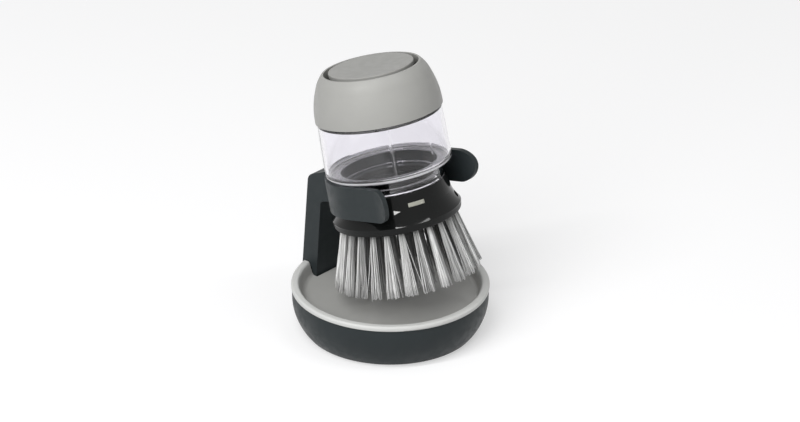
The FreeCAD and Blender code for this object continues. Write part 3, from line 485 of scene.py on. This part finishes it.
class DISHBRUSH_OT_stand(bpy.types.Operator):
    """Finish the stand: charcoal base and arm, two-tone drip tray, rubber pad and screws"""

    bl_idname = "dish_brush.stand"
    bl_label = "Finish stand"

    def execute(self, context):
        colours, _ = settings()
        charcoal = moulded("charcoal_plastic", colours.charcoal, 0.38, 0.50)
        charcoal.set(Specular_IOR_Level=DARK_PLASTIC_MIRROR)
        dress("stand_base", charcoal)
        dress("holder_arm", charcoal)
        dress("base_pad", rubber("pad_rubber", colours.rubber))
        dress("arm_screws", metal("screw_steel", SCREW_STEEL, 0.35))
        dress("drip_tray", self.tray(colours))
        return {"FINISHED"}

    def tray(self, colours):
        """Mid-grey floor with faint wipe marks, and a paler lip from its inner edge outwards."""
        finish = Finish("tray_plastic")
        clouds = finish.noise(45.0, detail=5.0)
        floor = finish.blend(clouds, lighter(colours.tray_floor, 0.90), lighter(colours.tray_floor, 1.10))
        lip = finish.blend(clouds, lighter(colours.tray_lip, 0.94), lighter(colours.tray_lip, 1.05))
        outward = finish.span(finish.floor_radius(), LIP_INNER - 1.6 * MM, LIP_INNER + 0.4 * MM, 0.0, 1.0)
        upward = finish.span(finish.height(), TRAY_FLOOR + 2.5 * MM, LIP_TOP - 0.8 * MM, 0.0, 1.0)
        beyond = finish.span(finish.floor_radius(), LIP_INNER + 0.4 * MM, LIP_INNER + 1.2 * MM, 0.0, 1.0)
        share = finish.maths("MAXIMUM", beyond, finish.maths("MULTIPLY", outward, upward))
        finish.colour(finish.blend(share, floor, lip))
        finish.roughness(finish.span(finish.noise(160.0), 0.3, 0.7, 0.34, 0.46))
        finish.bump(finish.noise(2200.0, detail=2.0), 0.00002)
        return finish


class DISHBRUSH_OT_head(bpy.types.Operator):
    """Finish the brush head: polished black shell with a satin rim, valve, bristle block and anchors"""

    bl_idname = "dish_brush.head"
    bl_label = "Finish head"

    def execute(self, context):
        colours, _ = settings()
        dress("brush_head", self.shell(colours.head_black))
        block = moulded("block_plastic", lighter(colours.head_black, 1.3), 0.45, 0.6)
        dress("bristle_block", block)
        dress("valve_retainer", block)
        dress("outlet_valve", rubber("valve_silicone", lighter(colours.rubber, 2.2)))
        dress("tuft_anchors", metal("anchor_brass", ANCHOR_BRASS, 0.40))
        return {"FINISHED"}

    def shell(self, colour):
        """Polished above, satin on the rim below, with faint wipe marks in the polish."""
        finish = Finish("head_gloss")
        smears = finish.noise(60.0, detail=5.0)
        finish.colour(finish.blend(smears, lighter(colour, 0.85), lighter(colour, 1.2)))
        polish = finish.span(smears, 0.35, 0.7, 0.05, 0.09)
        rim = finish.span(finish.reach(ALONG), RIM_TOP - 0.8 * MM, RIM_TOP - 0.1 * MM, 0.34, 0.0)
        finish.roughness(finish.maths("ADD", polish, rim))
        finish.bump(finish.noise(90.0), 0.00003, 0.35)
        return finish.set(Specular_IOR_Level=DARK_PLASTIC_MIRROR)


class DISHBRUSH_OT_marks(bpy.types.Operator):
    """Print the turning arrow on the head's cone, and lay beside it a pale satin patch that is a painted
    reflection of a window light
    """

    bl_idname = "dish_brush.marks"
    bl_label = "Add head marks"

    def execute(self, context):
        colours, _ = settings()
        down = np.linspace(-1.0, 1.0, MARK_ROWS)[:, None]
        right = np.linspace(0.0, 1.0, MARK_COLUMNS)[None, :]
        # The arrow's height falls evenly to its tip, which points the way that the tank unscrews
        along = ARROW_MIDDLE - ARROW_HALF * down * (1.0 - ARROW_NARROWING * right)
        turn = ARROW_TURN + (ARROW_TIP - ARROW_TURN) * right + 0.0 * down
        print_white = moulded("mark_print", colours.mark_white, 0.35, 0.45, mottle=0.04)
        self.plate("head_arrow", along, turn, print_white)
        # Painted reflection: a pale satin patch where a window light would mirror on the polished cone.
        along = REFLECTION_MIDDLE - REFLECTION_HALF * down + 0.0 * right
        turn = REFLECTION_TURN + (REFLECTION_END - REFLECTION_TURN) * right + 0.0 * down
        satin = moulded("painted_reflection_satin", colours.plate, 0.30, 0.40, mottle=0.18)
        self.plate("head_painted_reflection", along, turn, satin)
        return {"FINISHED"}

    def plate(self, name, along, turn, finish):
        """A thin plate that follows the head: a grid of stations and turns laid on the cone and the flare
        below it, whose radius grows with the drop and its square, and the same grid just under the skin."""
        rows, columns = along.shape
        count = rows * columns
        drop = np.maximum(WAIST - along, 0.0)
        cone = HEAD_TOP_RADIUS + (WAIST_RADIUS - HEAD_TOP_RADIUS) * (along - HEAD_TOP) / (WAIST - HEAD_TOP)
        radius = np.where(drop > 0.0, WAIST_RADIUS + FLARE_SLOPE * drop + FLARE_CURVE * drop ** 2, cone)
        face = round_points(radius + MARK_PROUD, turn, along)
        underside = round_points(radius - MARK_SUNK, turn, along)
        number = np.arange(count).reshape(rows, columns)
        rim = np.concatenate([number[0], number[1:, -1], number[-1, -2::-1], number[-2:0:-1, 0]])
        next_rim = np.roll(rim, -1)
        walls = np.stack([next_rim, rim, rim + count, next_rim + count], -1)
        top = grid_quads(rows, columns)[:, ::-1]
        points = np.concatenate([face.reshape(-1, 3), underside.reshape(-1, 3)])
        quads = np.concatenate([top, top[:, ::-1] + count, walls[:, ::-1]])
        new_piece(name, points, quads, finish.material, "head")


class DISHBRUSH_OT_bristles(bpy.types.Operator):
    """Grow the nylon filaments of the three rings of tufts"""

    bl_idname = "dish_brush.bristles"
    bl_label = "Grow bristles"

    def execute(self, context):
        colours, sizes = settings()
        nylon = self.nylon(colours)
        for seed, ring in enumerate(RINGS, start=FIRST_SEED):
            per_tuft = sizes.per_outer_tuft if ring == "outer" else sizes.per_inner_tuft
            rng = np.random.default_rng(seed)
            points, quads, along, shade = self.filaments(RINGS[ring], per_tuft, sizes, rng)
            tone_and_painted_shade = (("along", along), ("shade", shade))
            piece = new_piece(
                f"bristles_{ring}", points, quads, nylon.material, "head", tone_and_painted_shade)
            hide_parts(f"tufts_{ring}")
        return {"FINISHED"}

    def nylon(self, colours):
        """Grey-white nylon: each filament has its own tone, with painted shade over the quarter nearest the
        roots, fading out before the worn tips.
        """
        finish = Finish("bristle_nylon")
        shade = finish.node("ShaderNodeAttribute", attribute_name="shade").outputs["Fac"]
        along = finish.node("ShaderNodeAttribute", attribute_name="along").outputs["Fac"]
        body = finish.blend(shade, colours.nylon_dark, colours.nylon_light)
        # Painted shade: near the root each filament is mixed towards half the darkest nylon, for the shade
        # between the tufts.
        root = finish.span(along, 0.0, 0.25, 0.25, 0.0)
        finish.colour(finish.blend(root, body, lighter(colours.nylon_dark, 0.5)))
        finish.roughness(finish.span(finish.noise(1500.0), 0.3, 0.7, 0.28, 0.42))
        return finish.set(Sheen_Weight=0.15, Sheen_Roughness=0.4)

    def scatter(self, count, per_tuft, gather, rng):
        """Places of the filaments in each tuft's root and tip, in shares of its radius, and their shades.
        Roots lie on an even spiral, whose radius is the square root of their order. Each tip draws towards
        the nearest of a few strands, and a few stray. A shade is the strand's plus the filament's own."""
        order = np.arange(per_tuft) + 0.5
        spiral = order * math.pi * (3.0 - math.sqrt(5.0))
        disc = np.sqrt(order / per_tuft)[:, None] * np.stack([np.cos(spiral), np.sin(spiral)], -1)
        spin = rng.uniform(0, 2 * math.pi, count)
        turned = np.stack([np.stack([np.cos(spin), -np.sin(spin)], -1),
                           np.stack([np.sin(spin), np.cos(spin)], -1)], 1)
        root = np.einsum("kij,fj->kfi", turned, disc) + rng.normal(0, ROOT_SCATTER, (count, per_tuft, 2))
        centre_angle = rng.uniform(0, 2 * math.pi, (count, TUFT_STRANDS))
        centre_reach = np.sqrt(rng.uniform(*STRAND_REACH, (count, TUFT_STRANDS)))
        centres = np.stack([centre_reach * np.cos(centre_angle), centre_reach * np.sin(centre_angle)], -1)
        distance = np.linalg.norm(root[:, :, None] - centres[:, None], axis=-1)
        strand = distance.argmin(-1)
        drawn = np.take_along_axis(centres, strand[..., None], 1)
        tip = root * (1 - gather) + drawn * gather + rng.normal(0, TIP_SCATTER, root.shape)
        stray = rng.uniform(0, 1, (count, per_tuft, 1)) < STRAY_SHARE
        tip = tip + stray * rng.normal(0, STRAY_SCATTER, root.shape)
        strand_shade = rng.uniform(*STRAND_SHADES, (count, TUFT_STRANDS))
        own_shade = rng.uniform(*OWN_SHADES, (count, per_tuft))
        shade = np.take_along_axis(strand_shade, strand, 1) * STRAND_WEIGHT + own_shade
        return root, tip, shade

    def filaments(self, ring, per_tuft, sizes, rng):
        """Every filament of a ring. Its centre line runs from its place in the round root to its place in the
        wider tip, so its offset from the tuft's axis is root * (1 - t ** fan) + tip * t ** fan, with a crimp
        that is a growing sine of t. A square section that narrows at the worn tip is carried along it."""
        count, ring_radius, splay, tip_radius, pale, painted_root_light = ring
        total = count * per_tuft
        root, tip, shade = self.scatter(count, per_tuft, sizes.gather, rng)
        # The ring's paleness is painted light: it dims the middle and inner rings for the shade among the
        # tufts and lifts the outer ring a little.
        shade = pale * shade
        t = np.linspace(0.0, 1.0, FILAMENT_ROWS)
        fan = t ** FAN_POWER
        offset = (root.reshape(total, 1, 2) * TUFT_ROOT * (1 - fan)[None, :, None]
                  + tip.reshape(total, 1, 2) * TIP_SHAPE * tip_radius * fan[None, :, None])
        heading = rng.uniform(0, 2 * math.pi, (total, 1))
        phase = rng.uniform(0, 2 * math.pi, (total, 1))
        waves = rng.uniform(*CRIMP_WAVES, (total, 1))
        sway = sizes.crimp * np.sqrt(t) * np.sin(2 * math.pi * waves * t + phase)
        offset = offset + np.stack([np.cos(heading) * sway, np.sin(heading) * sway], -1)
        lean = math.radians(splay)
        length = TUFT_DROP / math.cos(lean) + rng.normal(0, sizes.ragged * RAGGED_SPREAD, (total, 1))
        down = (-TUFT_SUNK + (length + TUFT_SUNK) * t)[..., None]
        turn = np.repeat(2 * math.pi * np.arange(count) / count, per_tuft)[:, None, None]
        corner = np.arange(FILAMENT_SIDES) * math.pi / 2 + math.pi / 4
        taper = (1.0 - TIP_WEAR * t ** WEAR_POWER)[None, :, None]
        outward = offset[..., :1] + sizes.filament_radius * taper * np.cos(corner)
        sideways = offset[..., 1:] + sizes.filament_radius * taper * np.sin(corner)
        reach = ring_radius + outward * math.cos(lean) + down * math.sin(lean)
        along = HEAD_LOW + outward * math.sin(lean) - down * math.cos(lean)
        points = brush_points(reach * np.cos(turn) - sideways * np.sin(turn),
                              reach * np.sin(turn) + sideways * np.cos(turn), along)
        corners = FILAMENT_ROWS * FILAMENT_SIDES
        tube = grid_quads(FILAMENT_ROWS, FILAMENT_SIDES, close_columns=True)[:, ::-1]
        first_end = np.arange(FILAMENT_SIDES)
        one = np.concatenate([tube, np.stack([first_end, corners - 1 - first_end])])
        quads = (np.arange(total)[:, None, None] * corners + one[None]).reshape(-1, 4)
        spread = np.ones((total, FILAMENT_ROWS, FILAMENT_SIDES))
        # Painted shade at the roots: the filament's tone is scaled from the ring's root share at the root up
        # to full at the tip.
        painted_root_shade = (painted_root_light + (1.0 - painted_root_light) * t ** ROOT_SHADE_POWER)[None, :, None]
        return points, quads, spread * t[None, :, None], spread * painted_root_shade * shade.reshape(total, 1, 1)


class DISHBRUSH_OT_tank(bpy.types.Operator):
    """Finish the clear soap tank and its black seals"""

    bl_idname = "dish_brush.tank"
    bl_label = "Finish tank"

    def execute(self, context):
        colours, _ = settings()
        dress("tank", self.clear(colours.clear_tint))
        seal = rubber("seal_rubber", colours.rubber)
        dress("cap_gasket", seal)
        dress("neck_seal", seal)
        return {"FINISHED"}

    def clear(self, tint):
        """Clear plastic with a faint tint and flow ripples; on its outside a seam ridge, and painted
        highlight along the seam and round the lower edge, where the plastic is turned cloudy white.
        """
        finish = Finish("clear_plastic")
        ripples = finish.noise(38.0, detail=2.0, stretch=(1.0, 1.0, 0.45))
        finish.colour(finish.blend(ripples, lighter(tint, 0.985), lighter(tint, 1.0)))
        radius, turn = finish.axis_round()
        outside = finish.span(radius, SEAM_INNER - 0.1 * MM, SEAM_INNER + 0.1 * MM, 0.0, 1.0)
        aside = finish.maths("ABSOLUTE", finish.maths("SUBTRACT", turn, SEAM_TURN), 0.0)
        ridge = finish.maths("MULTIPLY", finish.span(aside, 0.0, SEAM_HALF, 1.0, 0.0), outside)
        # Painted highlight: a faint cloudy streak along the seam, for the pale lines that light draws beside
        # its ridge.
        seam_painted_highlight = finish.span(aside, 0.0, SEAM_HALF * 0.6, 0.16, 0.0)
        # Painted highlight: the outside of the lower edge turns cloudy white, for the bright line that light
        # draws round the rounded edge.
        edge = finish.span(finish.reach(ALONG), PAINTED_EDGE_LOW, PAINTED_EDGE_HIGH, 1.0, 0.0)
        painted_highlight = finish.maths("MULTIPLY", finish.maths("MAXIMUM", edge, seam_painted_highlight), outside)
        polish = finish.span(finish.noise(120.0), 0.35, 0.7, 0.015, 0.045)
        finish.roughness(finish.maths("ADD", polish, finish.maths("MULTIPLY", painted_highlight, 0.3)))
        clear = finish.maths("SUBTRACT", 1.0, finish.maths("MULTIPLY", painted_highlight, 0.8))
        finish.link(clear, finish.shader.inputs["Transmission Weight"])
        finish.bump(finish.maths("ADD", finish.maths("MULTIPLY", ripples, 0.3), ridge), 0.0006, 0.9)
        return finish.set(IOR=1.46)


class DISHBRUSH_OT_cap(bpy.types.Operator):
    """Finish cap, button and the parts of the pump"""

    bl_idname = "dish_brush.cap"
    bl_label = "Finish cap"

    def execute(self, context):
        colours, _ = settings()
        grey = moulded("cap_satin", colours.cap_grey, 0.40, 0.50, depth=0.00002, mottle=0.05)
        dress("cap_shell", grey)
        # Painted shade: the button takes the cap's grey scaled down by 0.87, though both are the same satin
        # plastic.
        button_shaded_grey = lighter(colours.cap_grey, 0.87)
        dress("button", moulded("button_shaded_satin", button_shaded_grey, 0.40, 0.50, depth=0.00002, mottle=0.05))
        dress("clamp_ring", moulded("ring_plastic", lighter(colours.head_black, 1.2), 0.45, 0.6))
        steel = metal("pump_steel", PUMP_STEEL, 0.30)
        dress("stop_washer", steel)
        dress("stop_screw", steel)
        return {"FINISHED"}


class DISHBRUSH_OT_bellows(bpy.types.Operator):
    """Mould the folded rubber bellows that the button presses flat"""

    bl_idname = "dish_brush.bellows"
    bl_label = "Make bellows"

    def execute(self, context):
        colours, _ = settings()
        finish = rubber("bellows_rubber", colours.rubber)
        piece = self.bellows(finish)
        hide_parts("pump_bellows")
        flatten(piece)
        return {"FINISHED"}

    def bellows(self, finish):
        """A profile turned about the axis: out along the flange, up a wall with two soft folds, in over the
        crown, and back one wall inside it. The wall's radius is root + (crown - root) * t plus a fold of
        sin(4 pi t) that fades at both ends with the root of sin(pi t)."""
        t = np.linspace(0.0, 1.0, BELLOWS_ROWS)
        fold = BELLOWS_FOLD * np.sin(4 * math.pi * t) * np.sin(math.pi * t) ** 0.5
        wall = BELLOWS_ROOT + (BELLOWS_CROWN - BELLOWS_ROOT) * t + fold
        rise = FLANGE_TOP + (BUTTON_LOW - BELLOWS_ROOM - FLANGE_TOP) * t
        inner_rise = DECK_TOP + (BUTTON_LOW - BELLOWS_WALL - DECK_TOP) * t
        radius = np.concatenate([[FLANGE_RADIUS, FLANGE_RADIUS], wall, [BELLOWS_HOLE, BELLOWS_HOLE],
                                 wall[::-1] - BELLOWS_WALL])
        along = np.concatenate([[DECK_TOP, FLANGE_TOP], rise, [rise[-1], inner_rise[-1]], inner_rise[::-1]])
        turn = np.linspace(0, 2 * math.pi, BELLOWS_COLUMNS, endpoint=False)
        points = round_points(radius[:, None], turn[None, :], along[:, None] + 0 * turn[None, :])
        quads = grid_quads(len(radius), len(turn), close_rows=True, close_columns=True)
        return new_piece("bellows", points, quads, finish.material, "cap")


class DISHBRUSH_OT_spring(bpy.types.Operator):
    """Wind the return spring under the button"""

    bl_idname = "dish_brush.spring"
    bl_label = "Wind spring"

    def execute(self, context):
        piece = self.spring(metal("spring_steel", SPRING_STEEL, 0.28))
        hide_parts("button_spring")
        flatten(piece)
        return {"FINISHED"}

    def spring(self, finish):
        """A round section carried along a helix of even climb, with its cut ends closed flat."""
        t = np.linspace(0.0, 1.0, SPRING_ROWS)[:, None]
        around = np.linspace(0, 2 * math.pi, SPRING_SIDES, endpoint=False)[None, :]
        turn = 2 * math.pi * SPRING_TURNS * t
        low = DECK_TOP + SPRING_WIRE
        high = BUTTON_LOW - BELLOWS_WALL - SPRING_WIRE
        radius = SPRING_RADIUS + SPRING_WIRE * np.cos(around)
        points = round_points(radius, turn, low + (high - low) * t + SPRING_WIRE * np.sin(around))
        wire = grid_quads(SPRING_ROWS, SPRING_SIDES, close_columns=True)
        second = np.arange(1, SPRING_SIDES - 1, 2)
        cut = np.stack([0 * second, second, second + 1, second + 2], -1)
        quads = np.concatenate([wire, cut[:, ::-1], cut + (SPRING_ROWS - 1) * SPRING_SIDES])
        return new_piece("return_spring", points, quads, finish.material, "cap")


def flatten(piece):
    """Gives a soft piece under the button a mesh of its own."""
    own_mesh(piece)


class DISHBRUSH_OT_stage(bpy.types.Operator):
    """Set the white floor, the soft lights and the camera"""

    bl_idname = "dish_brush.stage"
    bl_label = "Set stage"

    def execute(self, context):
        stage = context.scene.dish_brush_stage
        self.world(context.scene, stage.ambient)
        self.floor()
        self.camera(context.scene, stage)
        for name, lamp in LAMPS.items():
            self.lamp(name, *lamp)
        context.scene.view_settings.view_transform = "Standard"
        return {"FINISHED"}

    def world(self, scene, ambient):
        """Even light for the object, and plain white for what the camera, gloss and clear plastic see."""
        world = bpy.data.worlds.new("studio")
        world.use_nodes = True
        tree = world.node_tree
        tree.nodes.clear()
        seen = self.seen(tree)
        strength = tree.nodes.new("ShaderNodeMapRange")
        strength.inputs["To Min"].default_value = ambient
        strength.inputs["To Max"].default_value = 1.0
        light = tree.nodes.new("ShaderNodeBackground")
        output = tree.nodes.new("ShaderNodeOutputWorld")
        tree.links.new(seen, strength.inputs["Value"])
        tree.links.new(strength.outputs["Result"], light.inputs["Strength"])
        tree.links.new(light.outputs["Background"], output.inputs["Surface"])
        scene.world = world

    def seen(self, tree):
        """One where a ray comes from the camera, from gloss or through clear plastic, and else zero."""
        path = tree.nodes.new("ShaderNodeLightPath")
        total = path.outputs["Is Camera Ray"]
        for name in ("Is Glossy Ray", "Is Transmission Ray"):
            more = tree.nodes.new("ShaderNodeMath")
            more.operation = "MAXIMUM"
            tree.links.new(total, more.inputs[0])
            tree.links.new(path.outputs[name], more.inputs[1])
            total = more.outputs[0]
        return total

    def floor(self):
        """A flat round sheet at height zero: points at even radii and turns, and one face in the middle."""
        radius = np.linspace(0.0, FLOOR_REACH, FLOOR_RINGS + 1)[1:, None]
        turn = np.linspace(0, 2 * math.pi, FLOOR_COLUMNS, endpoint=False)[None, :]
        points = np.stack([radius * np.cos(turn), radius * np.sin(turn), 0 * radius * turn], -1)
        rings = grid_quads(FLOOR_RINGS, FLOOR_COLUMNS, close_columns=True)[:, ::-1]
        middle = list(range(FLOOR_COLUMNS))
        mesh = bpy.data.meshes.new("floor")
        mesh.from_pydata(points.reshape(-1, 3).tolist(), [], rings.tolist() + [middle])
        mesh.materials.append(self.paper())
        floor = bpy.data.objects.new("floor", mesh)
        bpy.context.scene.collection.objects.link(floor)

    def paper(self):
        """Pale paper that takes the shadow, with a glow for the rays that see it, stronger further off."""
        material = bpy.data.materials.new("floor_white")
        material.use_nodes = True
        tree = material.node_tree
        tree.nodes.clear()
        paper = tree.nodes.new("ShaderNodeBsdfDiffuse")
        paper.inputs["Color"].default_value = FLOOR_PAPER
        glow = tree.nodes.new("ShaderNodeEmission")
        place = tree.nodes.new("ShaderNodeTexCoord")
        far = tree.nodes.new("ShaderNodeVectorMath")
        far.operation = "LENGTH"
        fade = tree.nodes.new("ShaderNodeMapRange")
        fade.interpolation_type = "SMOOTHSTEP"
        fade.inputs["From Min"].default_value, fade.inputs["From Max"].default_value = GLOW_DISTANCES
        fade.inputs["To Min"].default_value, fade.inputs["To Max"].default_value = GLOW_STRENGTHS
        lift = tree.nodes.new("ShaderNodeMath")
        lift.operation = "MULTIPLY"
        both = tree.nodes.new("ShaderNodeAddShader")
        output = tree.nodes.new("ShaderNodeOutputMaterial")
        tree.links.new(place.outputs["Object"], far.inputs[0])
        tree.links.new(far.outputs["Value"], fade.inputs["Value"])
        tree.links.new(self.seen(tree), lift.inputs[0])
        tree.links.new(fade.outputs["Result"], lift.inputs[1])
        tree.links.new(lift.outputs[0], glow.inputs["Strength"])
        tree.links.new(paper.outputs["BSDF"], both.inputs[0])
        tree.links.new(glow.outputs["Emission"], both.inputs[1])
        tree.links.new(both.outputs["Shader"], output.inputs["Surface"])
        return material

    def lamp(self, name, place, size, power, mirrored):
        """A rectangular soft light that faces the brush, with its long side turned towards LAMP_SIDE."""
        data = bpy.data.lights.new(name, "AREA")
        data.shape = "RECTANGLE"
        data.size, data.size_y = size
        data.energy = power
        lamp = bpy.data.objects.new(name, data)
        lamp.visible_glossy = mirrored
        lamp.location = place
        away = (Vector(place) - LAMP_AIM).normalized()
        long_side = (LAMP_SIDE - away * LAMP_SIDE.dot(away)).normalized()
        lamp.rotation_euler = Matrix((long_side, away.cross(long_side), away)).transposed().to_euler()
        bpy.context.scene.collection.objects.link(lamp)

    def camera(self, scene, stage):
        """Long lens at the photograph's bearing, shifted so that the brush stands left of the middle."""
        data = bpy.data.cameras.new("camera")
        data.sensor_width = SENSOR_WIDTH
        data.lens = LENS
        data.shift_x, data.shift_y = SHIFT
        data.clip_start, data.clip_end = CLIP
        flat = math.cos(stage.elevation) * stage.distance
        target = Vector((0, 0, stage.aim_height))
        offset = Vector((math.sin(stage.azimuth) * flat, -math.cos(stage.azimuth) * flat,
                         math.sin(stage.elevation) * stage.distance))
        camera = bpy.data.objects.new("camera", data)
        camera.location = target + offset
        camera.rotation_euler = (-offset).to_track_quat("-Z", "Y").to_euler()
        scene.collection.objects.link(camera)
        scene.camera = camera


STEPS = (
    DISHBRUSH_OT_stage, DISHBRUSH_OT_stand, DISHBRUSH_OT_head, DISHBRUSH_OT_marks, DISHBRUSH_OT_bristles,
    DISHBRUSH_OT_tank, DISHBRUSH_OT_cap, DISHBRUSH_OT_bellows, DISHBRUSH_OT_spring,
)
GROUPS = (
    ("dish_brush_colours", FinishColours),
    ("dish_brush_bristles", BristleSizes),
    ("dish_brush_stage", StageSizes),
)


class DISHBRUSH_PT_panel(bpy.types.Panel):
    """Steps and settings of the dish brush"""

    bl_idname = "DISHBRUSH_PT_panel"
    bl_label = "Dish brush"
    bl_space_type = "VIEW_3D"
    bl_region_type = "UI"
    bl_category = "Dish brush"

    def draw(self, context):
        for step in STEPS:
            self.layout.operator(step.bl_idname)
        for name, group in GROUPS:
            box = self.layout.box()
            for key in group.__annotations__:
                box.prop(getattr(context.scene, name), key)


def register():
    for name, group in GROUPS:
        bpy.utils.register_class(group)
        setattr(bpy.types.Scene, name, PointerProperty(type=group))
    for step in STEPS:
        bpy.utils.register_class(step)
    bpy.utils.register_class(DISHBRUSH_PT_panel)


def unregister():
    bpy.utils.unregister_class(DISHBRUSH_PT_panel)
    for step in reversed(STEPS):
        bpy.utils.unregister_class(step)
    for name, group in reversed(GROUPS):
        delattr(bpy.types.Scene, name)
        bpy.utils.unregister_class(group)


def main():
    register()
    bpy.ops.dish_brush.stage()
    bpy.ops.dish_brush.stand()
    bpy.ops.dish_brush.head()
    bpy.ops.dish_brush.marks()
    bpy.ops.dish_brush.bristles()
    bpy.ops.dish_brush.tank()
    bpy.ops.dish_brush.cap()
    bpy.ops.dish_brush.bellows()
    bpy.ops.dish_brush.spring()


if __name__ == "__main__":
    main()
